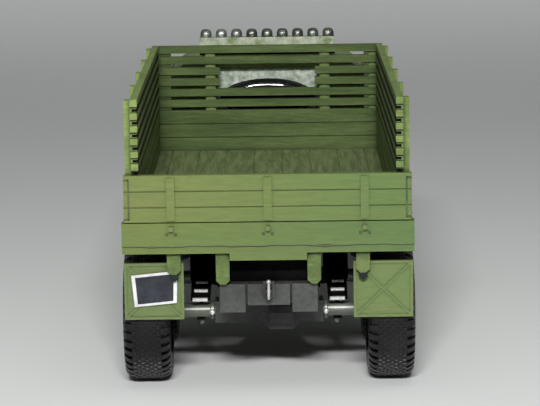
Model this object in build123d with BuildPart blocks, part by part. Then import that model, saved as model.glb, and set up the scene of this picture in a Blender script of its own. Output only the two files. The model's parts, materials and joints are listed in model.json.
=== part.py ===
"""Military cargo truck with six wheels, a 1:43 scale model in millimetres.

+Y points forwards, +X to the right and +Z up. The origin is on the floor, under the middle of the model.
"""

import os
from math import atan2, cos, degrees, hypot, pi, radians, sin

from build123d import *

os.makedirs("parts", exist_ok=True)

# ---------------------------------------------------------------- driving dimensions
# whole model
MODEL_LENGTH = 172.0
HINGE_PROUD = 1.0  # how far the tailgate's hinge pins stand out behind the sill
FRONT_Y = MODEL_LENGTH / 2
TAIL_Y = -MODEL_LENGTH / 2 + HINGE_PROUD

# wheels
TYRE_R = 14.65
TYRE_WIDTH = 9.8
TRACK = 51.8
RIM_R = 7.6
RIM_FIT = 0.05
ROD_R = 1.5
ROD_FIT = 0.05
ROD_RUN = 0.10  # running clearance of the rod in its casing
HUB_R = 3.4
REAR_AXLE_FROM_TAIL = 18.5
BOGIE_SPACING = 34.0
FRONT_OVERHANG = 27.0
FRONT_AXLE_Y = FRONT_Y - FRONT_OVERHANG
REAR_AXLE_Y = TAIL_Y + REAR_AXLE_FROM_TAIL
MIDDLE_AXLE_Y = REAR_AXLE_Y + BOGIE_SPACING
BOGIE_Y = (REAR_AXLE_Y + MIDDLE_AXLE_Y) / 2

# ladder frame
RAIL_OUTER = 10.7
RAIL_WIDTH = 2.4
RAIL_WALL = 0.8
RAIL_TOP = 29.25
RAIL_HEIGHT = 6.8
RAIL_INNER = RAIL_OUTER - RAIL_WIDTH
RAIL_BOTTOM = RAIL_TOP - RAIL_HEIGHT
FRAME_REAR_Y = TAIL_Y + 6.0
BUMPER_DEPTH = 2.8
FRAME_FRONT_Y = FRONT_Y - BUMPER_DEPTH

# cargo bed
BED_WIDTH = 60.0
RUNNER_HEIGHT = 3.2
BEARER_HEIGHT = 3.2
BEARER_WIDTH = 2.2
FLOOR_THICK = 1.6
SILL_PROUD = 0.25  # how far the sill stands out beyond the bed's floor at each side
SILL_DEPTH = 3.0
BOARD_THICK = 1.5
BOARD_HEIGHT = 10.0
RACK_HEIGHT = 15.8
SLATS = 6
SLAT_GAP = 0.85
SIDE_INSET = 2.0  # from the floor's edge in to the outside of the side boards
POST_THICK = 1.35
POST_WIDTH = 2.45
BEARER_BOTTOM = RAIL_TOP + RUNNER_HEIGHT
FLOOR_BOTTOM = BEARER_BOTTOM + BEARER_HEIGHT
FLOOR_TOP = FLOOR_BOTTOM + FLOOR_THICK
BOARD_TOP = FLOOR_TOP + BOARD_HEIGHT
RACK_TOP = BOARD_TOP + RACK_HEIGHT
BED_HALF = BED_WIDTH / 2
SIDE_OUTER = BED_HALF - SIDE_INSET
SLAT_PITCH = RACK_HEIGHT / SLATS
SLAT_HEIGHT = SLAT_PITCH - SLAT_GAP
GROOVE = 0.25  # width and depth of a joint between two planks

# cab
CAB_GAP = 4.0
CAB_LENGTH = 27.0
CAB_HALF = 24.2
CAB_WALL = 1.0
CAB_WAIST_Z = RAIL_TOP + 17.3
CAB_ROOF_Z = RAIL_TOP + 30.75
CAB_RAKE = 3.5
CAB_FLOOR_THICK = 1.2

# hood and front
HOOD_LENGTH = 36.5
HOOD_WALL = 1.2
FENDER_THICK = 1.2
FENDER_RISE = 4.75
FENDER_TOP = RAIL_TOP + FENDER_RISE
FENDER_OUTER = 30.2
GRILLE_DEPTH = 2.2
NOSE_GAP = 5.3  # from the grille to the bumper's front
HOOD_FRONT_Y = FRONT_Y - NOSE_GAP - GRILLE_DEPTH
CAB_FRONT_Y = HOOD_FRONT_Y - HOOD_LENGTH
CAB_REAR_Y = CAB_FRONT_Y - CAB_LENGTH
BED_FRONT_Y = CAB_REAR_Y - CAB_GAP
BED_LENGTH = BED_FRONT_Y - TAIL_Y


def block(x, y, z, mode=Mode.ADD):
    """A box between three pairs of coordinates, in the part that is open."""
    with Locations(((x[0] + x[1]) / 2, (y[0] + y[1]) / 2, (z[0] + z[1]) / 2)):
        Box(x[1] - x[0], y[1] - y[0], z[1] - z[0], mode=mode)


def across(y):
    """The upright plane across the model at y, with X to its right and Z up."""
    return Plane.XZ.offset(-y)


def along(x):
    """The upright plane along the model at x, with Y to its right and Z up."""
    return Plane.YZ.offset(x)


def flat_faced(face_points):
    """A solid closed by flat faces, each given by its corners in order."""
    faces = []
    for points in face_points:
        corners = [Vector(*point) for point in points]
        faces.append(Face(Wire.make_polygon(corners, close=True)))
    return Solid(Shell(faces))


def turned(profile, sides, centre, turn=0.0):
    """A many-sided solid round a line along X through centre; the closed profile is (along X, radius)."""
    rings = []
    for index in range(sides + 1):
        angle = turn + 2 * pi * (index % sides) / sides
        rings.append(
            [
                (centre[0] + along_x, centre[1] + radius * cos(angle), centre[2] + radius * sin(angle))
                for along_x, radius in profile
            ]
        )
    quads = []
    for ring, next_ring in zip(rings, rings[1:]):
        for index in range(len(profile)):
            after = (index + 1) % len(profile)
            quads.append((ring[index], next_ring[index], next_ring[after], ring[after]))
    return flat_faced(quads)


# ---------------------------------------------------------------- ladder frame
CROSSMEMBER_WIDTH = 3.0
SCREW_MEMBER_WIDTH = 5.0
SCREW_R = 1.25
SCREW_DEPTH = 3.6
SCREW_REAR_GAP = 20.0
SCREW_REAR_Y = MIDDLE_AXLE_Y + SCREW_REAR_GAP
SCREW_FRONT_Y = CAB_REAR_Y + 4.0
# cross members: place along the model, width along the model
CROSSMEMBERS = (
    (FRAME_REAR_Y + 1.5, CROSSMEMBER_WIDTH),
    (BOGIE_Y, CROSSMEMBER_WIDTH),
    (SCREW_REAR_Y, SCREW_MEMBER_WIDTH),
    (SCREW_FRONT_Y, SCREW_MEMBER_WIDTH),
    (FRAME_FRONT_Y - 4.0, CROSSMEMBER_WIDTH),
)

with BuildPart() as chassis_frame:
    with BuildSketch(across(FRAME_REAR_Y)):
        with BuildLine():
            Polyline(
                (RAIL_OUTER, RAIL_BOTTOM),
                (RAIL_OUTER, RAIL_TOP),
                (RAIL_INNER, RAIL_TOP),
                (RAIL_INNER, RAIL_TOP - RAIL_WALL),
                (RAIL_OUTER - RAIL_WALL, RAIL_TOP - RAIL_WALL),
                (RAIL_OUTER - RAIL_WALL, RAIL_BOTTOM + RAIL_WALL),
                (RAIL_INNER, RAIL_BOTTOM + RAIL_WALL),
                (RAIL_INNER, RAIL_BOTTOM),
                close=True,
            )
        make_face()
    extrude(amount=FRAME_REAR_Y - FRAME_FRONT_Y)
    mirror(about=Plane.YZ)
    for member_y, member_width in CROSSMEMBERS:
        half = member_width / 2
        reach = RAIL_OUTER - RAIL_WALL
        member_z = (RAIL_BOTTOM + RAIL_WALL, RAIL_TOP - RAIL_WALL)
        block((-reach, reach), (member_y - half, member_y + half), member_z)
    with BuildSketch(Plane.XY.offset(RAIL_BOTTOM + RAIL_WALL)):
        with Locations((0, SCREW_REAR_Y), (0, SCREW_FRONT_Y)):
            Circle(SCREW_R)
    extrude(amount=SCREW_DEPTH, mode=Mode.SUBTRACT)
chassis_frame.part.label = "chassis_frame"
export_step(chassis_frame.part, "parts/chassis_frame.step")

# ---------------------------------------------------------------- rear cross member and tow hook
PAD_INNER = 4.9
PAD_OUTER = 10.2
PAD_BOTTOM = 17.6
TOW_BLOCK_HALF = 4.4
TOW_BLOCK_BOTTOM = 19.1
CROSS_DEPTH = 3.0
CROSS_TOP = 23.6
CROSS_REAR_Y = FRAME_REAR_Y - CROSS_DEPTH
CROSS_WEB = 1.4

with BuildPart() as rear_crossmember:
    with BuildSketch(across(FRAME_REAR_Y)):
        with BuildLine():
            Polyline(
                (0, TOW_BLOCK_BOTTOM),
                (PAD_INNER, TOW_BLOCK_BOTTOM),
                (PAD_INNER, PAD_BOTTOM),
                (PAD_OUTER, PAD_BOTTOM),
                (PAD_OUTER, CROSS_TOP),
                (0, CROSS_TOP),
                close=True,
            )
        make_face()
    extrude(amount=CROSS_WEB)
    for x_pair, bottom in (
        ((PAD_INNER, PAD_OUTER), PAD_BOTTOM),
        ((0, TOW_BLOCK_HALF), TOW_BLOCK_BOTTOM),
    ):
        block(x_pair, (CROSS_REAR_Y, FRAME_REAR_Y), (bottom, CROSS_TOP))
    mirror(about=Plane.YZ)
rear_crossmember.part.label = "rear_crossmember"
export_step(rear_crossmember.part, "parts/rear_crossmember.step")

HOOK_THICK = 1.2
HOOK_BASE_HEIGHT = 3.4
HOOK_BASE_THICK = 0.6
HOOK_Z = 22.6
HOOK_THROAT_R = 0.8
HOOK_R = 1.7
HOOK_SIDES = 16

with BuildPart() as tow_hook:
    with BuildSketch(along(-HOOK_THICK / 2)):
        hook_y = CROSS_REAR_Y - HOOK_R
        with Locations((hook_y, HOOK_Z)):
            RegularPolygon(HOOK_R, HOOK_SIDES)
            RegularPolygon(HOOK_THROAT_R, HOOK_SIDES, mode=Mode.SUBTRACT)
        with Locations((hook_y - HOOK_R / 2, HOOK_Z + HOOK_THROAT_R)):
            Rectangle(HOOK_R, HOOK_THROAT_R, mode=Mode.SUBTRACT)
    extrude(amount=HOOK_THICK)
    block(
        (-HOOK_THICK, HOOK_THICK),
        (CROSS_REAR_Y - HOOK_BASE_THICK, CROSS_REAR_Y),
        (HOOK_Z - HOOK_BASE_HEIGHT / 2, HOOK_Z + HOOK_BASE_HEIGHT / 2),
    )
tow_hook.part.label = "tow_hook"
export_step(tow_hook.part, "parts/tow_hook.step")

# ---------------------------------------------------------------- axle casings
CASING_DEPTH = 5.0
CASING_BOTTOM = 12.4
CASING_TOP = 17.0
CASING_HALF = 11.6
FRONT_CASING_HALF = 17.5
DIFF_DIP = 1.55
DIFF_X = 2.6
DIFF_HALF = 2.6
DIFF_SLOPE = 1.4
DIFF_R = 3.8
DIFF_SIDES = 16

# axle name, its place along the model, half of its casing's width
CASINGS = (
    ("rear_axle_casing", REAR_AXLE_Y, CASING_HALF),
    ("middle_axle_casing", MIDDLE_AXLE_Y, CASING_HALF),
    ("front_axle_casing", FRONT_AXLE_Y, FRONT_CASING_HALF),
)
for casing_name, axle_y, half in CASINGS:
    with BuildPart() as casing:
        with BuildSketch(across(axle_y + CASING_DEPTH / 2)):
            with BuildLine():
                Polyline(
                    (-half, CASING_BOTTOM),
                    (DIFF_X - DIFF_HALF - DIFF_SLOPE, CASING_BOTTOM),
                    (DIFF_X - DIFF_HALF, CASING_BOTTOM - DIFF_DIP),
                    (DIFF_X + DIFF_HALF, CASING_BOTTOM - DIFF_DIP),
                    (DIFF_X + DIFF_HALF + DIFF_SLOPE, CASING_BOTTOM),
                    (half, CASING_BOTTOM),
                    (half, CASING_TOP),
                    (-half, CASING_TOP),
                    close=True,
                )
            make_face()
        extrude(amount=CASING_DEPTH)
        with BuildSketch(along(DIFF_X - DIFF_HALF)):
            with Locations((axle_y, TYRE_R)):
                RegularPolygon(DIFF_R, DIFF_SIDES)
        extrude(amount=2 * DIFF_HALF)
        with BuildSketch(Plane.XY.offset(CASING_TOP)):
            for side in (-1, 1):
                with Locations((side * (RAIL_INNER + RAIL_OUTER) / 2, axle_y)):
                    Rectangle(RAIL_WIDTH, CASING_DEPTH)
        extrude(amount=RAIL_BOTTOM - CASING_TOP)
        with BuildSketch(along(-half)):
            with Locations((axle_y, TYRE_R)):
                Circle(ROD_R + ROD_RUN)
        extrude(amount=2 * half, mode=Mode.SUBTRACT)
    casing.part.label = casing_name
    export_step(casing.part, f"parts/{casing_name}.step")

# ---------------------------------------------------------------- leaf springs
LEAF_THICK = 0.8
LEAF_WIDTH = 4.2
SPRING_X = 14.7
SPRING_R = 110.0
LEAVES = 5
REAR_SPRING_HALF = BOGIE_SPACING / 2 + 2.5
REAR_LEAF_STEP = 3.0
REAR_SPRING_BOTTOM = 19.0
PIVOT_R = 1.2
PIVOT_SIDES = 12
PIVOT_Z = 17.7
PIVOT_DEPTH = 6.0


def leaf(y, z, half, radius, ends_down):
    """One curved leaf as a face in the upright plane, resting at (y, z) on its underside."""
    sign = -1 if ends_down else 1
    end_z = z + sign * half * half / (2 * radius)
    with BuildLine() as outline:
        top = LEAF_THICK
        low = ThreePointArc((y - half, end_z), (y, z), (y + half, end_z))
        high = ThreePointArc((y - half, end_z + top), (y, z + top), (y + half, end_z + top))
        Line(low @ 0, high @ 0)
        Line(low @ 1, high @ 1)
    make_face(outline.edges())


with BuildPart() as rear_springs:
    with BuildSketch(along(SPRING_X - LEAF_WIDTH / 2)):
        for index in range(LEAVES):
            leaf_half = REAR_SPRING_HALF - index * REAR_LEAF_STEP
            leaf(BOGIE_Y, REAR_SPRING_BOTTOM + index * LEAF_THICK, leaf_half, SPRING_R, True)
    extrude(amount=LEAF_WIDTH)
    clamp_top = REAR_SPRING_BOTTOM + LEAVES * LEAF_THICK
    block(
        (SPRING_X - LEAF_WIDTH / 2, SPRING_X + LEAF_WIDTH / 2),
        (BOGIE_Y - PIVOT_DEPTH / 2, BOGIE_Y + PIVOT_DEPTH / 2),
        (PIVOT_Z + PIVOT_R, clamp_top + 0.6),
    )
    mirror(about=Plane.YZ)
rear_springs.part.label = "rear_springs"
export_step(rear_springs.part, "parts/rear_springs.step")

with BuildPart() as bogie_pivot:
    pivot_reach = SPRING_X + LEAF_WIDTH / 2
    with BuildSketch(along(-pivot_reach)):
        with Locations((BOGIE_Y, PIVOT_Z)):
            RegularPolygon(PIVOT_R, PIVOT_SIDES)
    extrude(amount=2 * pivot_reach)
    with BuildSketch(along(RAIL_INNER)):
        with BuildLine():
            Polyline(
                (BOGIE_Y - PIVOT_DEPTH, RAIL_BOTTOM),
                (BOGIE_Y - PIVOT_R, PIVOT_Z - PIVOT_R),
                (BOGIE_Y + PIVOT_R, PIVOT_Z - PIVOT_R),
                (BOGIE_Y + PIVOT_DEPTH, RAIL_BOTTOM),
                close=True,
            )
        make_face()
    extrude(amount=RAIL_WIDTH)
    mirror(about=Plane.YZ)
bogie_pivot.part.label = "bogie_pivot"
export_step(bogie_pivot.part, "parts/bogie_pivot.step")

FRONT_SPRING_HALF = 15.2
HANGER_TOP = RAIL_BOTTOM + 2.0
FRONT_LEAF_STEP = 3.0

with BuildPart() as front_springs:
    with BuildSketch(along(RAIL_OUTER)):
        for index in range(LEAVES):
            top_leaf = CASING_TOP + (LEAVES - 1) * LEAF_THICK
            leaf(
                FRONT_AXLE_Y,
                top_leaf - index * LEAF_THICK,
                FRONT_SPRING_HALF - index * FRONT_LEAF_STEP,
                SPRING_R,
                False,
            )
    extrude(amount=LEAF_WIDTH)
    for end in (-1, 1):
        hanger_y = FRONT_AXLE_Y + end * (FRONT_SPRING_HALF - 1.2)
        block(
            (RAIL_OUTER, RAIL_OUTER + LEAF_WIDTH),
            (hanger_y - 1.2, hanger_y + 1.2),
            (top_leaf + 1.0, HANGER_TOP),
        )
    mirror(about=Plane.YZ)
front_springs.part.label = "front_springs"
export_step(front_springs.part, "parts/front_springs.step")

# ---------------------------------------------------------------- driveline
TRANSFER_HALF = 5.0
TRANSFER_GAP = 34.5
TRANSFER_Y = MIDDLE_AXLE_Y + TRANSFER_GAP
TRANSFER_LENGTH = 12.0
TRANSFER_BOTTOM = 16.0
TRANSFER_TOP = RAIL_BOTTOM
SHAFT_R = 0.9
FLANGE_R = 1.9
FLANGE_THICK = 0.8
SHAFT_SIDES = 10
SHAFT_GAP = 0.3
SUMP_HALF = 6.0
SUMP_BOTTOM = RAIL_BOTTOM - 2.9
SUMP_REAR_GAP = 12.0
SUMP_FRONT_GAP = 6.0
SUMP_REAR_Y = CAB_FRONT_Y - SUMP_REAR_GAP
SUMP_FRONT_Y = HOOD_FRONT_Y - SUMP_FRONT_GAP

with BuildPart() as transfer_case:
    block(
        (-TRANSFER_HALF, TRANSFER_HALF),
        (TRANSFER_Y - TRANSFER_LENGTH / 2, TRANSFER_Y + TRANSFER_LENGTH / 2),
        (TRANSFER_BOTTOM, TRANSFER_TOP),
    )
    chamfer(transfer_case.edges().filter_by(Axis.Y), length=1.2)
    block(
        (-RAIL_OUTER, RAIL_OUTER),
        (TRANSFER_Y - 1.5, TRANSFER_Y + 1.5),
        (RAIL_BOTTOM - 1.6, RAIL_BOTTOM),
    )
transfer_case.part.label = "transfer_case"
export_step(transfer_case.part, "parts/transfer_case.step")

# one shaft a row: the Y of its rear end and of its front end, and the height of each
SHAFT_Z = TYRE_R + 0.6
SHAFTS = (
    (REAR_AXLE_Y + DIFF_R, MIDDLE_AXLE_Y - DIFF_R, SHAFT_Z, SHAFT_Z),
    (MIDDLE_AXLE_Y + DIFF_R, TRANSFER_Y - TRANSFER_LENGTH / 2, SHAFT_Z, TRANSFER_BOTTOM + 3.0),
    (TRANSFER_Y + TRANSFER_LENGTH / 2, FRONT_AXLE_Y - DIFF_R, TRANSFER_BOTTOM + 3.0, SHAFT_Z),
)
with BuildPart() as propeller_shafts:
    for rear_y, front_y, rear_z, front_z in SHAFTS:
        start = Vector(DIFF_X, rear_y + SHAFT_GAP, rear_z)
        end = Vector(DIFF_X, front_y - SHAFT_GAP, front_z)
        run = (end - start).length
        shaft_plane = Plane(origin=start, x_dir=(1, 0, 0), z_dir=end - start)
        with BuildSketch(shaft_plane):
            RegularPolygon(SHAFT_R, SHAFT_SIDES)
        extrude(amount=run)
        for flange_at in (0.0, run - FLANGE_THICK):
            with BuildSketch(shaft_plane.offset(flange_at)):
                RegularPolygon(FLANGE_R, SHAFT_SIDES)
            extrude(amount=FLANGE_THICK)
propeller_shafts.part.label = "propeller_shafts"
export_step(propeller_shafts.part, "parts/propeller_shafts.step")

with BuildPart() as engine_sump:
    with BuildSketch(along(-SUMP_HALF)):
        with BuildLine():
            Polyline(
                (SUMP_REAR_Y, RAIL_BOTTOM),
                (SUMP_REAR_Y, RAIL_TOP),
                (SUMP_FRONT_Y, RAIL_TOP),
                (SUMP_FRONT_Y, SUMP_BOTTOM + 1.5),
                (SUMP_FRONT_Y - 1.5, SUMP_BOTTOM),
                (FRONT_AXLE_Y + 4.0, SUMP_BOTTOM),
                (FRONT_AXLE_Y - 3.0, RAIL_BOTTOM),
                close=True,
            )
        make_face()
    extrude(amount=2 * SUMP_HALF)
    for mount_y in (SUMP_REAR_Y + 4.0, SUMP_FRONT_Y - 4.0):
        block((-RAIL_INNER, RAIL_INNER), (mount_y - 1.2, mount_y + 1.2), (RAIL_TOP - 3.2, RAIL_TOP - 1.2))
engine_sump.part.label = "engine_sump"
export_step(engine_sump.part, "parts/engine_sump.step")

# ---------------------------------------------------------------- front bumper
BUMPER_HALF = 29.0
BUMPER_BOTTOM = 19.0
BUMPER_HEIGHT = 6.5

with BuildPart() as front_bumper:
    with BuildSketch(Plane.XY.offset(BUMPER_BOTTOM)):
        with BuildLine():
            Polyline(
                (-BUMPER_HALF, FRAME_FRONT_Y),
                (BUMPER_HALF, FRAME_FRONT_Y),
                (BUMPER_HALF, FRAME_FRONT_Y + BUMPER_DEPTH / 2),
                (BUMPER_HALF - 2 * BUMPER_DEPTH, FRONT_Y),
                (-BUMPER_HALF + 2 * BUMPER_DEPTH, FRONT_Y),
                (-BUMPER_HALF, FRAME_FRONT_Y + BUMPER_DEPTH / 2),
                close=True,
            )
        make_face()
    extrude(amount=BUMPER_HEIGHT)
front_bumper.part.label = "front_bumper"
export_step(front_bumper.part, "parts/front_bumper.step")

# ---------------------------------------------------------------- fuel tanks and running boards
TANK_REAR_GAP = 21.5
TANK_FRONT_GAP = 6.0
TANK_REAR_Y = MIDDLE_AXLE_Y + TANK_REAR_GAP
TANK_LENGTH = CAB_REAR_Y - TANK_FRONT_GAP - TANK_REAR_Y
TANK_STRAP = 1.6
TANK_STRAP_SHARE = 0.2  # how far in from a tank's end its strap is, as a share of the length
TANK_INNER = RAIL_OUTER
TANK_OUTER = 26.0
TANK_BOTTOM = RAIL_BOTTOM - 4.5
TANK_TOP = TANK_BOTTOM + 10.5
TANK_CORNER = 2.0
STEP_INNER = RAIL_OUTER
STEP_OUTER = 28.5
STEP_Z = 20.0
STEP_THICK = 1.2
STEP_TREAD = 11.8
STEP_ARM = 1.2
STEP_ARM_INSET = 4.0
STEP_FRONT_Y = CAB_FRONT_Y - 0.5
STEP_REAR_Y = CAB_REAR_Y + 1.0

with BuildPart() as fuel_tanks:
    with BuildSketch(across(TANK_REAR_Y)):
        with Locations(((TANK_INNER + TANK_OUTER) / 2 + 0.6, (TANK_BOTTOM + TANK_TOP) / 2)):
            tank = Rectangle(TANK_OUTER - TANK_INNER - 1.2, TANK_TOP - TANK_BOTTOM)
        chamfer(tank.vertices(), TANK_CORNER)
    extrude(amount=-TANK_LENGTH)
    for share in (TANK_STRAP_SHARE, 1.0 - TANK_STRAP_SHARE):
        strap_rear = TANK_REAR_Y + share * TANK_LENGTH - TANK_STRAP / 2
        block(
            (TANK_INNER, TANK_INNER + 3.0),
            (strap_rear, strap_rear + TANK_STRAP),
            (RAIL_BOTTOM, TANK_TOP - TANK_CORNER),
        )
    mirror(about=Plane.YZ)
fuel_tanks.part.label = "fuel_tanks"
export_step(fuel_tanks.part, "parts/fuel_tanks.step")

with BuildPart() as running_boards:
    block((STEP_OUTER - STEP_TREAD, STEP_OUTER), (STEP_REAR_Y, STEP_FRONT_Y), (STEP_Z, STEP_Z + STEP_THICK))
    for arm_y in (STEP_REAR_Y + STEP_ARM_INSET, STEP_FRONT_Y - STEP_ARM_INSET):
        with BuildSketch(across(arm_y)):
            with BuildLine():
                Polyline(
                    (STEP_INNER, RAIL_BOTTOM + 0.6),
                    (STEP_INNER, RAIL_BOTTOM + 3.0),
                    (STEP_INNER + 2.0, RAIL_BOTTOM + 3.0),
                    (STEP_OUTER - 1.0, STEP_Z + STEP_THICK),
                    (STEP_OUTER - 1.0, STEP_Z),
                    (STEP_OUTER - STEP_TREAD, STEP_Z),
                    close=True,
                )
            make_face()
        extrude(amount=-STEP_ARM)
    mirror(about=Plane.YZ)
running_boards.part.label = "running_boards"
export_step(running_boards.part, "parts/running_boards.step")

# ---------------------------------------------------------------- cargo bed: bearers, floor and sill
BEARERS = 7

with BuildPart() as bed_bearers:
    bed_run = BED_LENGTH - SILL_DEPTH
    for side in (-1, 1):
        inner, outer = sorted((side * RAIL_INNER, side * RAIL_OUTER))
        block((inner, outer), (TAIL_Y + SILL_DEPTH, BED_FRONT_Y), (RAIL_TOP, BEARER_BOTTOM))
    for index in range(BEARERS):
        bearer_y = TAIL_Y + SILL_DEPTH + bed_run * (index + 0.5) / BEARERS
        with BuildSketch(across(bearer_y - BEARER_WIDTH / 2)):
            with BuildLine():
                Polyline(
                    (-BED_HALF + 1.0, FLOOR_BOTTOM),
                    (-BED_HALF + 1.0, FLOOR_BOTTOM - BEARER_HEIGHT / 2),
                    (-RAIL_OUTER - 4.0, BEARER_BOTTOM),
                    (RAIL_OUTER + 4.0, BEARER_BOTTOM),
                    (BED_HALF - 1.0, FLOOR_BOTTOM - BEARER_HEIGHT / 2),
                    (BED_HALF - 1.0, FLOOR_BOTTOM),
                    close=True,
                )
            make_face()
        extrude(amount=-BEARER_WIDTH)
bed_bearers.part.label = "bed_bearers"
export_step(bed_bearers.part, "parts/bed_bearers.step")

FLOOR_PLANKS = 9
FLOOR_REAR_Y = TAIL_Y + SILL_DEPTH
FLOOR_FRONT_Y = BED_FRONT_Y - BOARD_THICK

with BuildPart() as bed_floor:
    block((-BED_HALF, BED_HALF), (FLOOR_REAR_Y, FLOOR_FRONT_Y), (FLOOR_BOTTOM, FLOOR_TOP))
    plank = BED_WIDTH / FLOOR_PLANKS
    for index in range(1, FLOOR_PLANKS):
        joint_x = -BED_HALF + index * plank
        block(
            (joint_x - GROOVE / 2, joint_x + GROOVE / 2),
            (FLOOR_REAR_Y, FLOOR_FRONT_Y),
            (FLOOR_TOP - GROOVE, FLOOR_TOP + GROOVE),
            mode=Mode.SUBTRACT,
        )
bed_floor.part.label = "bed_floor"
export_step(bed_floor.part, "parts/bed_floor.step")

SILL_LIP_BOTTOM = BEARER_BOTTOM - 1.7
SILL_LIP_THICK = 1.2
SILL_LIP_INSET = 0.35
SILL_MIDDLE_BOTTOM = BEARER_BOTTOM - 3.25
SILL_MIDDLE_HALF = 8.0

with BuildPart() as rear_sill:
    half = BED_HALF + SILL_PROUD
    block((-half, half), (TAIL_Y, TAIL_Y + SILL_DEPTH), (BEARER_BOTTOM, FLOOR_TOP))
    lip_y = (TAIL_Y + SILL_LIP_INSET, TAIL_Y + SILL_LIP_INSET + SILL_LIP_THICK)
    block((-half, half), lip_y, (SILL_LIP_BOTTOM, BEARER_BOTTOM))
    block((-SILL_MIDDLE_HALF, SILL_MIDDLE_HALF), lip_y, (SILL_MIDDLE_BOTTOM, SILL_LIP_BOTTOM))
rear_sill.part.label = "rear_sill"
export_step(rear_sill.part, "parts/rear_sill.step")

# ---------------------------------------------------------------- tailgate with its hinges
GATE_THICK = 1.6
GATE_HALF = BED_HALF - 0.3
GATE_PLANKS = 3
GATE_GAP = 0.25
END_LINE_IN = 1.05  # from the gate's end in to the line that marks its end iron
END_LINE_DROP = 0.9
END_LINE_HEIGHT = 8.2
END_LINE = 0.4
STRAP_WIDTH = 1.7
STRAP_PROUD = 0.35
STRAP_X = 20.0
PIN_R = 0.55
PIN_SIDES = 10
PIN_Z = FLOOR_TOP - 1.1
FIT = 0.1

with BuildPart() as tailgate:
    with BuildSketch(across(TAIL_Y + GATE_THICK)):
        with Locations((0, (FLOOR_TOP + GATE_GAP + BOARD_TOP) / 2)):
            Rectangle(2 * GATE_HALF, BOARD_HEIGHT - GATE_GAP)
    extrude(amount=GATE_THICK)
    for index in range(1, GATE_PLANKS):
        joint_z = FLOOR_TOP + index * BOARD_HEIGHT / GATE_PLANKS
        for face_y in (TAIL_Y, TAIL_Y + GATE_THICK):
            block(
                (-GATE_HALF, GATE_HALF),
                (face_y - GROOVE, face_y + GROOVE),
                (joint_z - GROOVE / 2, joint_z + GROOVE / 2),
                mode=Mode.SUBTRACT,
            )
    line_top = BOARD_TOP - END_LINE_DROP
    line_bottom = line_top - END_LINE_HEIGHT
    for side in (-1, 1):
        line_x = side * (GATE_HALF - END_LINE_IN)
        line_y = (TAIL_Y - GROOVE, TAIL_Y + GROOVE)
        upright_x = (line_x - END_LINE / 2, line_x + END_LINE / 2)
        block(upright_x, line_y, (line_bottom, line_top), mode=Mode.SUBTRACT)
        for arm_z in (line_bottom, line_top):
            arm_x = sorted((line_x - side * END_LINE / 2, side * GATE_HALF))
            block(arm_x, line_y, (arm_z - END_LINE / 2, arm_z + END_LINE / 2), mode=Mode.SUBTRACT)
tailgate.part.label = "tailgate"
export_step(tailgate.part, "parts/tailgate.step")

with BuildPart() as tailgate_hinges:
    for strap_x in (-STRAP_X, 0.0, STRAP_X):
        block(
            (strap_x - STRAP_WIDTH / 2, strap_x + STRAP_WIDTH / 2),
            (TAIL_Y - STRAP_PROUD, TAIL_Y),
            (FLOOR_TOP + GATE_GAP + 0.3, BOARD_TOP - 0.5),
        )
        with BuildSketch(across(TAIL_Y)):
            with Locations((strap_x, PIN_Z)):
                RegularPolygon(PIN_R, PIN_SIDES)
        extrude(amount=HINGE_PROUD)
tailgate_hinges.part.label = "tailgate_hinges"
export_step(tailgate_hinges.part, "parts/tailgate_hinges.step")

# ---------------------------------------------------------------- side boards, side racks and headboard
SIDE_REAR_Y = TAIL_Y + GATE_THICK + FIT
SIDE_PLANKS = 3
HEADBOARD_REAR_Y = FLOOR_FRONT_Y
SIDE_LENGTH = HEADBOARD_REAR_Y - SIDE_REAR_Y
SIDE_POSTS = 5
POST_INSET = 1.3
BATTEN_X = 13.9
BATTEN_WIDTH = 2.5
END_POST_X = BED_HALF - 5.2
OPENING_HALF = 11.6
OPENING_SLATS = (2, 3)  # the slats, counted from the top, that the view opening cuts

POST_SUNK = 0.45  # how far the headboard's posts stay behind the face of its slats
# the headboard's posts on each side: inner edge, outer edge
HEADBOARD_POSTS = (
    (BATTEN_X - BATTEN_WIDTH / 2, BATTEN_X + BATTEN_WIDTH / 2),
    (END_POST_X - POST_WIDTH / 2, SIDE_OUTER),
)

with BuildPart() as side_boards:
    block((SIDE_OUTER - BOARD_THICK, SIDE_OUTER), (SIDE_REAR_Y, HEADBOARD_REAR_Y), (FLOOR_TOP, BOARD_TOP))
    for index in range(1, SIDE_PLANKS):
        joint_z = FLOOR_TOP + index * BOARD_HEIGHT / SIDE_PLANKS
        for face_x in (SIDE_OUTER - BOARD_THICK, SIDE_OUTER):
            block(
                (face_x - GROOVE, face_x + GROOVE),
                (SIDE_REAR_Y, HEADBOARD_REAR_Y),
                (joint_z - GROOVE / 2, joint_z + GROOVE / 2),
                mode=Mode.SUBTRACT,
            )
    mirror(about=Plane.YZ)
side_boards.part.label = "side_boards"
export_step(side_boards.part, "parts/side_boards.step")

with BuildPart() as side_racks:
    for index in range(SLATS):
        slat_z = BOARD_TOP + SLAT_GAP + index * SLAT_PITCH
        block(
            (SIDE_OUTER - BOARD_THICK, SIDE_OUTER),
            (SIDE_REAR_Y - GATE_THICK - FIT, HEADBOARD_REAR_Y),
            (slat_z, slat_z + SLAT_HEIGHT),
        )
    for index in range(SIDE_POSTS):
        post_y = SIDE_REAR_Y + POST_INSET + index * (SIDE_LENGTH - 2 * POST_INSET) / (SIDE_POSTS - 1)
        block(
            (SIDE_OUTER, SIDE_OUTER + POST_THICK),
            (post_y - POST_WIDTH / 2, post_y + POST_WIDTH / 2),
            (FLOOR_TOP, RACK_TOP - SLAT_GAP / 2),
        )
    mirror(about=Plane.YZ)
side_racks.part.label = "side_racks"
export_step(side_racks.part, "parts/side_racks.step")

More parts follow.
